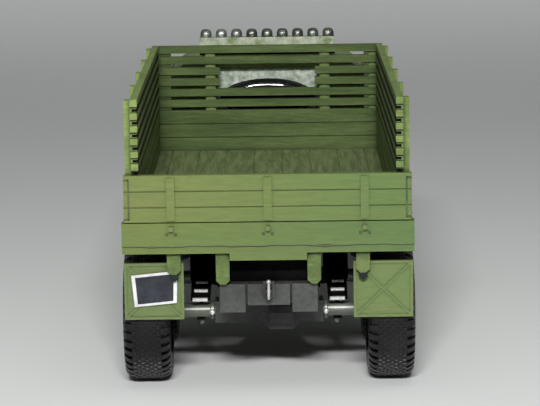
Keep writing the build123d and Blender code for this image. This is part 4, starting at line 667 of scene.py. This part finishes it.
# a near-black strip under the rail's base: painted shade in the opening between the rail and the roof
foot = Form()
foot.box((-RAIL_HALF, RAIL_HALF), RAIL_Y, (RAIL_Z, SHADE_STRIP_TOP_Z))
ribs = Form()
for index in range(RIBS):
    x = (index - RIBS // 2) * RIB_PITCH
    points = []
    for z, share, back in RIB_LEVELS:
        points += [(x + share * out, RAIL_Y[0] + 0.6 - share * stands + back, z) for out, stands in RIB_SECTION]
        points += [(x - share * RIB_HALF, RAIL_Y[1] - 0.1 - back, z), (x + share * RIB_HALF, RAIL_Y[1] - 0.1 - back, z)]
    ribs.add(points, stack_faces(len(RIB_LEVELS), len(RIB_SECTION) + 2))
rail_piece = rail.piece("roof_rail_base", BARE, "bare_metal")
foot.piece("roof_rail_painted_shade_strip", CHASSIS_SHADE_BLACK, "bare_metal")
ribs.piece("roof_rail_ribs", RIB_METAL, "bare_metal", smooth=True)
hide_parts("ribbed_roof_box")

# ---------------------------------------------------------------- rear window glass, domed
GLASS_A = 11.05  # half the oval's width
GLASS_B = 4.15  # half its height
GLASS_Z = 49.5
GLASS_Y = 15.3
GASKET = 0.6
GASKET_TURNS = 72
DOME_TURNS = 48
# the rubber's rounded section, as (out from the glass, how far it stands out to the rear)
GASKET_SECTION = ((-0.5, 0.0), (-0.3, 0.3), (0.0, 0.5), (GASKET - 0.1, 0.5), (GASKET, 0.3), (GASKET, 0.0))
# the glass from its edge inwards: share of the oval, how far it stands out
DOME_ROWS = ((1.0, 0.0), (0.95, 0.18), (0.72, 0.52), (0.4, 0.62), (0.2, 0.64))
points = []
for k in range(GASKET_TURNS):
    angle = 2 * pi * k / GASKET_TURNS
    points += [((GLASS_A + out) * cos(angle), GLASS_Y - proud, GLASS_Z + (GLASS_B + out) * sin(angle))
               for out, proud in GASKET_SECTION]
count = len(GASKET_SECTION)
faces = []
for k in range(GASKET_TURNS):
    here, there = k * count, (k + 1) % GASKET_TURNS * count
    faces += [(here + i, there + i, there + (i + 1) % count, here + (i + 1) % count) for i in range(count)]
gasket = Form()
gasket.add(points, faces)
gasket_piece = gasket.piece("rear_window_gasket", BLACK, "black_rubber", smooth=True)
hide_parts("rear_window_rubber")
points = []
for share, proud in DOME_ROWS:
    for k in range(DOME_TURNS):
        angle = 2 * pi * k / DOME_TURNS
        points.append((share * GLASS_A * cos(angle), GLASS_Y - proud, GLASS_Z + share * GLASS_B * sin(angle)))
dome = Form()
dome.add(points, stack_faces(len(DOME_ROWS), DOME_TURNS))
dome.piece("rear_window_dome", DARK_GLASS, "glazing", smooth=True)

# ---------------------------------------------------------------- axles and springs
BOGIE_Y = -49.5
SPRING_X = 14.7
SPRING_LOW = 19.0
SPRING_BEND = 220.0
WASHER = ((0.0, 1.64), (0.0, 1.9), (0.2, 2.05), (0.75, 2.05), (0.95, 1.85), (0.95, 1.64))
WASHER_X = 11.7
SCREW_X, SCREW_OUT, SCREW_Z = 12.2, 1.9, 14.6
SADDLE_LEG = 2.1
SADDLE_FOOT_Z = 12.4
BALL_R, BALL_Z = 0.8, 11.9
BALL = [(BALL_R * cos(pi * k / 8), BALL_R * sin(pi * k / 8)) for k in range(1, 8)]
LEAVES = 3
LEAF_HALF, LEAF_STEP, LEAF_RISE = 19.5, 3.0, 0.74
CLAMP_X, CLAMP_Y = 2.4, 2.0
glint_parts, washers, saddles, nuts, balls = Form(), Form(), Form(), Form(), Form()
for side in (-1, 1):
    x = side * SPRING_X
    for axle_y in (REAR_Y, MIDDLE_Y):
        inward = 1 if axle_y < BOGIE_Y else -1
        washers.ring(WASHER, (side * WASHER_X, axle_y, TYRE_R), (side, 0, 0), turns=24)
        for hand in (-1, 1):
            screw = (side * SCREW_X, axle_y + hand * SCREW_OUT, SCREW_Z)
            glint_parts.bolt(screw, (0, hand, 0), radius=0.62, height=0.6, turns=14)
        leg_y = axle_y + inward * SADDLE_LEG
        leg_top = SPRING_LOW - (leg_y - BOGIE_Y) ** 2 / SPRING_BEND - 0.05
        saddles.tube([(x, leg_y, SADDLE_FOOT_Z), (x, leg_y, leg_top)], 0.42)
        balls.lathe(BALL, (x, leg_y, BALL_Z), (0, 0, 1), 16)
        saddles.box((x - 0.9, x + 0.9), (axle_y - 0.4, axle_y + 0.4), (12.6, 13.05))
    for index in range(LEAVES):
        half = LEAF_HALF - LEAF_STEP * index
        leaf_z = SPRING_LOW + LEAF_RISE * index - half * half / SPRING_BEND + 0.25
        for hand in (-1, 1):
            end_y = BOGIE_Y + hand * (half + 0.15)
            glint_parts.tube([(x - 1.7 + 0.3 * index, end_y, leaf_z), (x + 1.5, end_y, leaf_z)], 0.42)
    for hand in (-1, 1):
        for across in (-1, 1):
            clamp_x, clamp_y = x + across * CLAMP_X, BOGIE_Y + hand * CLAMP_Y
            saddles.tube([(clamp_x, clamp_y, 18.0), (clamp_x, clamp_y, 23.9)], 0.35)
            nuts.nut((clamp_x, clamp_y, 23.8), (0, 0, 1), radius=0.6, height=0.5)
# grub screws and leaf ends in near-white steel: painted glints
glint_parts.piece("grub_screws_and_leaf_ends", GLINT_STEEL, "axle_steel", smooth=True)
washers.piece("axle_washers", STEEL, "axle_steel", smooth=True)
saddles.piece("spring_saddles", CHASSIS_SHADE_BLACK, "grey_underframe", smooth=True)
nuts.piece("spring_nuts", IRON, "axle_steel", smooth=True)
balls.piece("saddle_balls", STEEL, "axle_steel", smooth=True)

HOOK_Y, HOOK_Z, HOOK_R = -83.7, 22.6, 1.78
# a latch along the hook's rear in near-white steel: a painted glint
latch = Form()
latch.tube([(0, HOOK_Y - HOOK_R * cos(a * pi / 12), HOOK_Z + HOOK_R * sin(a * pi / 12)) for a in range(-4, 8)], 0.3)
latch.bolt((0, -84.0, 24.2), (0, 0, 1), radius=0.5, height=0.7)
latch.piece("hook_latch", GLINT_STEEL, "axle_steel", smooth=True)


# ---------------------------------------------------------------- cab, hood and front trim
def rim(form, outline, radius):
    """A rounded strip round a closed outline."""
    form.tube(outline + outline[:2], radius, turns=8)


def pane(low_x, high_x, low, high, corner):
    """A pane's outline with its corners cut, as (across, up)."""
    return [(low_x + corner, low), (high_x - corner, low), (high_x, low + corner), (high_x, high - corner),
            (high_x - corner, high), (low_x + corner, high), (low_x, high - corner), (low_x, low + corner)]


SCREEN_UP = Vector((0, -3.5, 13.45)).normalized()
SCREEN_MIDDLE = Vector((0, 40.3, 53.29))


def on_screen(x, rise):
    """A place on the leaning windscreen."""
    return SCREEN_MIDDLE + Vector((x, 0, 0)) + SCREEN_UP * rise


SCREEN_X = (1.0, 18.0)
SCREEN_HALF = 4.8
DOOR_GLASS_X = 24.22
# the door window's outline, as (along the truck, up)
DOOR_GLASS = ((22.8, 46.75), (36.2, 46.75), (37.1, 47.9), (35.7, 53.5), (34.3, 54.55), (22.8, 54.55), (21.6, 53.35),
              (21.6, 47.95))
# a wiper's arm and blade, as (across, up the windscreen)
WIPER_ARM = ((5.0, -5.4), (5.6, -4.2), (11.0, 1.2))
WIPER_BLADE = ((8.4, -2.6), (13.6, 3.2))
rubber = Form()
for side in (-1, 1):
    edges = sorted(side * x for x in SCREEN_X)
    rim(rubber, [on_screen(x, rise) for x, rise in pane(*edges, -SCREEN_HALF, SCREEN_HALF, 1.2)], 0.32)
    rim(rubber, [(side * DOOR_GLASS_X, y, z) for y, z in DOOR_GLASS], 0.3)
    rubber.tube([on_screen(side * x, rise) for x, rise in WIPER_ARM], 0.22)
    rubber.tube([on_screen(side * x, rise) for x, rise in WIPER_BLADE], 0.3)
rubber.piece("window_rubbers_and_wipers", BLACK, "black_rubber", smooth=True)

DOOR_X = 24.35
GUTTER = ((24.3, 16.0, 55.3), (DOOR_X, 38.6, 55.3), (24.2, 39.2, 54.6))
HINGE_HEIGHTS = (34.2, 42.6)
LOUVRES = 9
LOUVRE_Y, LOUVRE_STEP = 48.5, 2.7
LOUVRE_FACES = [(0, 2, 1), (3, 4, 5), (0, 1, 4, 3), (1, 2, 5, 4), (2, 0, 3, 5)]
CATCHES = (45.4, 75.4)
TANK_BANDS = (-7.0, 5.0)
CAP_PROFILE = ((0.0, 1.5), (0.7, 1.5), (0.9, 1.25))
STEP_RIDGES = 10
STEP_X, RIDGE_STEP = 17.6, 1.12
ROPE_HOOKS = (-70.0, -47.0, -24.0, -1.0)
POSTS = 5
POST_Y, POST_STEP = -82.0, 22.55
PLANK_BOLTS = (39.4, 42.25, 45.1)
SLATS = 6
SLAT_BOLT_Z = 48.99


def hood_side(side, y):
    """The tapering hood's side at a place along the truck."""
    return side * (17.5 - 4.0 * (y - 42.0) / 36.5)


fittings = Form()
post_bolts = Form()
for side in (-1, 1):
    fittings.tube([(side * x, y, z) for x, y, z in GUTTER], 0.32)
    for z in HINGE_HEIGHTS:
        fittings.lathe([(-0.9, 0.45), (0.9, 0.45)], (side * DOOR_X, 39.05, z), (0, 0, 1), 12)
        fittings.box((side * 24.15, side * 24.4), (37.2, 39.0), (z - 0.5, z + 0.5))
    for index in range(LOUVRES):
        y = LOUVRE_Y + LOUVRE_STEP * index
        x = hood_side(side, y)
        out = side * 0.42
        points = [(x, y, 35.2), (x, y + 1.5, 35.2), (x + out, y + 0.3, 35.6), (x, y, 38.9), (x, y + 1.5, 38.9),
                  (x + out, y + 0.3, 38.5)]
        fittings.add(points, LOUVRE_FACES)
    for y in CATCHES:
        x = hood_side(side, y)
        fittings.box((x, x + side * 0.45), (y - 0.5, y + 0.5), (34.1, 36.6))
        fittings.tube([(x + side * 0.5, y, 34.6), (x + side * 0.75, y, 36.2)], 0.22)
    for y in TANK_BANDS:
        rim(fittings, [(side * x, y, z) for x, z in pane(11.8, 26.1, 17.85, 28.55, 2.05)], 0.26)
    fittings.lathe(CAP_PROFILE, (side * 21.0, -1.0, 28.45), (0, 0, 1), 20)
    for index in range(STEP_RIDGES):
        x = side * (STEP_X + RIDGE_STEP * index)
        fittings.box((x - 0.22, x + 0.22), (17.0, 40.8), (21.2, 21.4))
    for y in ROPE_HOOKS:
        fittings.tube([(side * 30.0, y - 1.1, 36.7), (side * 30.45, y - 0.8, 36.1), (side * 30.45, y + 0.8, 36.1),
                       (side * 30.0, y + 1.1, 36.7)], 0.2)
    for index in range(POSTS):
        y = POST_Y + POST_STEP * index
        for z in PLANK_BOLTS + tuple(SLAT_BOLT_Z + SLAT_PITCH * slat for slat in range(SLATS)):
            post_bolts.bolt((side * POST_FACE_X, y, z), (side, 0, 0), radius=0.3, height=0.05)
fittings.tube([(0, 42.3, 46.8), (0, 78.2, 44.6)], 0.28)  # the hood's middle hinge
fittings.piece("cab_hood_and_bed_fittings", GREEN, "green_paint", smooth=True)
post_bolts.piece("rack_post_bolts", FITTING_AND_SHADE, "green_paint", smooth=True)

# fillers in the six gaps between the slats: at the racks' rear ends, and in front of the headboard's posts
GAP_FEET = (47.25, 49.8833, 52.5166, 55.1499, 57.7832, 60.4165)
RACK_END_Y = -84.96
BOARD_END_Y = -83.25
FILLER_IN_X = 27.6
SHIMS = ((-13.9, 1.2), (13.9, 1.2), (25.5, 0.85))  # middle and half width
SHIM_STEPS = 8
SHIM_RISE = 0.28
SHIM_ENDS = ((9.53, 0.0), (9.93, 0.12))  # place along the truck, lift of the top
end_fillers, shim_highlights = Form(), Form()
for foot in GAP_FEET:
    rear_y = BOARD_END_Y if foot == GAP_FEET[0] else RACK_END_Y
    for side in (-1, 1):
        end_fillers.box((side * FILLER_IN_X, side * (BED_SIDE_X - CLEAR)), (rear_y, rear_y + 1.4),
                        (foot + CLEAR, foot + GAP_HEIGHT - CLEAR))
        for low, high in ((CLEAR, 0.13), (0.72, GAP_HEIGHT - CLEAR)):
            end_fillers.box((side * BOARD_IN_X, side * FILLER_IN_X), (rear_y, rear_y + 0.6), (foot + low, foot + high))
    for middle, half in SHIMS:
        crown = []
        for step in range(SHIM_STEPS + 1):
            t = 2 * step / SHIM_STEPS - 1
            crown.append((middle + half * t, foot + CLEAR + SHIM_RISE + SHIM_RISE * (1 - t * t)))
        points = []
        for y, lift in SHIM_ENDS:
            points += [(x, y, z + lift) for x, z in crown]
            points += [(middle + half, y, foot + CLEAR), (middle - half, y, foot + CLEAR)]
        shim_highlights.add(points, prism_faces(len(crown) + 2))
end_fillers.piece("rack_end_fillers", GATE, "green_paint")
# the shims take the lighter gate paint rather than the headboard's darker one: a painted highlight on the posts seen
# between the slats
shim_highlights.piece("headboard_shims_painted_highlight", GATE, "green_paint")

RAIL_SIDE_X = 10.7
RIVETS = 22
RIVET_Y, RIVET_STEP = -78.0, 7.2
NO_RIVETS = (43.0, 76.0)  # beside the sump and the front axle
rivets = Form()
for side in (-1, 1):
    for index in range(RIVETS):
        y = RIVET_Y + RIVET_STEP * index
        if not NO_RIVETS[0] < y < NO_RIVETS[1]:
            rivets.bolt((side * RAIL_SIDE_X, y, 27.6), (side, 0, 0), radius=0.36, height=0.22)
            rivets.bolt((side * RAIL_SIDE_X, y + 1.8, 24.2), (side, 0, 0), radius=0.36, height=0.22)
rivets.piece("frame_rivets", GREY, "grey_underframe", smooth=True)

CORE_FINS = 20
core = Form()
core.box((-11.15, 11.15), (76.9, 77.5), (30.7, 42.9))
for index in range(CORE_FINS):
    z = 31.0 + 0.6 * index
    core.box((-11.1, 11.1), (77.5, 77.9), (z, z + 0.22))
core.piece("radiator_core", CHASSIS_SHADE_BLACK, "grey_underframe")

LAMP_X, LAMP_Y, LAMP_Z = 20.5, 70.0, 37.5
# turned profiles, as (along the lamp's axis, radius)
LAMP_SHELL = ((-4.0, 1.0), (-3.7, 1.7), (-2.6, 2.5), (-1.2, 2.9), (-0.2, 3.0), (0.0, 2.95))
LAMP_BEZEL = ((-0.2, 2.5), (-0.2, 3.0), (0.2, 3.02), (0.45, 2.8), (0.4, 2.5))
LAMP_LENS = ((0.0, 2.55), (0.3, 2.4), (0.6, 1.7), (0.75, 0.7))
SIDE_LIGHT = ((0.0, 0.9), (0.5, 0.85), (0.8, 0.45))
MIRROR_X = 27
lamps = Form()
lenses = Form()
for side in (-1, 1):
    place = (side * LAMP_X, LAMP_Y, LAMP_Z)
    lamps.lathe(LAMP_SHELL, place, (0, 1, 0), 40)
    lamps.ring(LAMP_BEZEL, place, (0, 1, 0), 40)
    lamps.box((side * LAMP_X - 0.8, side * LAMP_X + 0.8), (67.2, 68.8), (34.0, 35.6))
    lenses.lathe(LAMP_LENS, place, (0, 1, 0), 40)
    lenses.lathe(SIDE_LIGHT, (side * 27.0, 66.0, 34.0), (0, 0, 1), 20)
    lenses.box((side * MIRROR_X - 1.2, side * MIRROR_X + 1.2), (39.08, 39.2), (48.0, 52.3))
lamp_piece = lamps.piece("round_headlamps", GREEN, "lamp_lens", smooth=True)
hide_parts("headlamps")
lenses.piece("lamp_lenses_and_mirror_glass", LENS, "lamp_lens", smooth=True)

# ---------------------------------------------------------------- floor, light and camera
FLOOR_HALF = 4.0  # in metres, as are the places that follow
SWEEP_Y, SWEEP_R = 1.1, 0.5
sweep = [(-3.0, 0.0), (SWEEP_Y, 0.0)]
sweep += [(SWEEP_Y + SWEEP_R * sin(a * pi / 20), SWEEP_R - SWEEP_R * cos(a * pi / 20)) for a in range(1, 11)]
sweep += [(SWEEP_Y + SWEEP_R, 3.0)]
floor_points = [(side * FLOOR_HALF, y, z) for y, z in sweep for side in (-1, 1)]
floor_faces = [(2 * i, 2 * i + 1, 2 * i + 3, 2 * i + 2) for i in range(len(sweep) - 1)]
floor_mesh = bpy.data.meshes.new("floor")
floor_mesh.from_pydata(floor_points, [], floor_faces)
floor_object = bpy.data.objects.new("floor", floor_mesh)
bpy.context.scene.collection.objects.link(floor_object)
for polygon in floor_mesh.polygons:
    polygon.use_smooth = True

# the paper from in front of the model to far behind it, as (place, grey) with painted shade darker in the middle, and
# as (place, painted glow for the camera)
PAPER_PAINTED_SHADE = ((-0.10, 0.88), (0.26, 0.68), (0.85, 0.92))
PAPER_PAINTED_GLOW = ((-0.10, 0.0), (0.26, 0.06), (0.85, 0.21))
SHEET_NEAR, SHEET_FAR = PAPER_PAINTED_SHADE[0][0], PAPER_PAINTED_SHADE[-1][0]
GREENNESS = 0.985  # how much red and blue keep beside green
paper = bpy.data.materials.new("pale_paper")
paper.use_nodes = True
paper_tree = paper.node_tree
paper_link = paper_tree.links.new
paper_shader = paper_tree.nodes["Principled BSDF"]
paper_shader.inputs["Roughness"].default_value = 0.9
paper_shader.inputs["Specular IOR Level"].default_value = 0.2
paper_place = node_of(paper_tree, "ShaderNodeTexCoord")
paper_split = node_of(paper_tree, "ShaderNodeSeparateXYZ")
paper_link(paper_place.outputs["Object"], paper_split.inputs["Vector"])
paper_along = node_of(paper_tree, "ShaderNodeMapRange")
paper_along.inputs["From Min"].default_value = SHEET_NEAR
paper_along.inputs["From Max"].default_value = SHEET_FAR
paper_link(paper_split.outputs["Y"], paper_along.inputs["Value"])


def paper_ramp(shades, tint):
    """A ramp along the floor; shades are (place in metres, grey)."""
    ramp = node_of(paper_tree, "ShaderNodeValToRGB")
    ramp.color_ramp.interpolation = "EASE"
    elements = ramp.color_ramp.elements
    colours = [(grey * tint, grey, grey * tint, 1.0) for place, grey in shades]
    elements[0].color = colours[0]
    elements[1].color = colours[-1]
    for (place, _), colour in zip(shades[1:-1], colours[1:-1]):
        elements.new((place - SHEET_NEAR) / (SHEET_FAR - SHEET_NEAR)).color = colour
    paper_link(paper_along.outputs["Result"], ramp.inputs["Fac"])
    return ramp.outputs["Color"]


paper_link(paper_ramp(PAPER_PAINTED_SHADE, GREENNESS), paper_shader.inputs["Base Color"])
paper_link(paper_ramp(PAPER_PAINTED_GLOW, 1.0), paper_shader.inputs["Emission Color"])
# painted glow: the paper gives off its own light to camera, glossy and transmission rays, more towards the back
rays = node_of(paper_tree, "ShaderNodeLightPath")
seen = rays.outputs["Is Camera Ray"]
for kind in ("Is Glossy Ray", "Is Transmission Ray"):
    either = node_of(paper_tree, "ShaderNodeMath", operation="MAXIMUM")
    paper_link(seen, either.inputs[0])
    paper_link(rays.outputs[kind], either.inputs[1])
    seen = either.outputs["Value"]
paper_link(seen, paper_shader.inputs["Emission Strength"])
floor_mesh.materials.append(paper)


def softbox(name, place, aim, size, power):
    """A rectangular white area light turned towards a point."""
    light = bpy.data.lights.new(name, "AREA")
    light.shape = "RECTANGLE"
    light.size = size[0]
    light.size_y = size[1]
    light.energy = power
    lamp = bpy.data.objects.new(name, light)
    bpy.context.scene.collection.objects.link(lamp)
    lamp.location = place
    lamp.rotation_euler = (Vector(aim) - Vector(place)).to_track_quat("-Z", "Y").to_euler()


softbox("key", (-0.015, -0.68, 0.39), (0, -0.06, 0.04), (0.20, 0.05), 5.0)
softbox("top", (0.03, -0.26, 0.70), (0, -0.05, 0.0), (0.5, 0.4), 0.8)
world = bpy.data.worlds.new("studio")
bpy.context.scene.world = world
world.use_nodes = True
backdrop = world.node_tree.nodes["Background"]
backdrop.inputs["Color"].default_value = (0.93, 0.97, 1.0, 1.0)
backdrop.inputs["Strength"].default_value = 0.07

# the camera as fitted to the photo: angles in radians, place in metres
PITCH = 0.181
YAW = -0.0029
ROLL = -0.0129
PLACE = (0.001888, -0.56557, 0.129245)
FOCAL_LENGTH = 158.23
forward = Vector((sin(YAW) * cos(PITCH), cos(YAW) * cos(PITCH), -sin(PITCH)))
right = Vector((cos(YAW), -sin(YAW), 0.0))
up = right.cross(forward)
right_rolled = right * cos(ROLL) + up * sin(ROLL)
up_rolled = up * cos(ROLL) - right * sin(ROLL)
lens = bpy.data.cameras.new("camera")
lens.lens = FOCAL_LENGTH
lens.sensor_width = 36.0
lens.clip_start = 0.01
camera = bpy.data.objects.new("camera", lens)
bpy.context.scene.collection.objects.link(camera)
turn = Matrix((right_rolled, up_rolled, -forward)).transposed()
camera.matrix_world = Matrix.Translation(PLACE) @ turn.to_4x4()
scene = bpy.context.scene
scene.camera = camera
scene.view_settings.view_transform = "Standard"
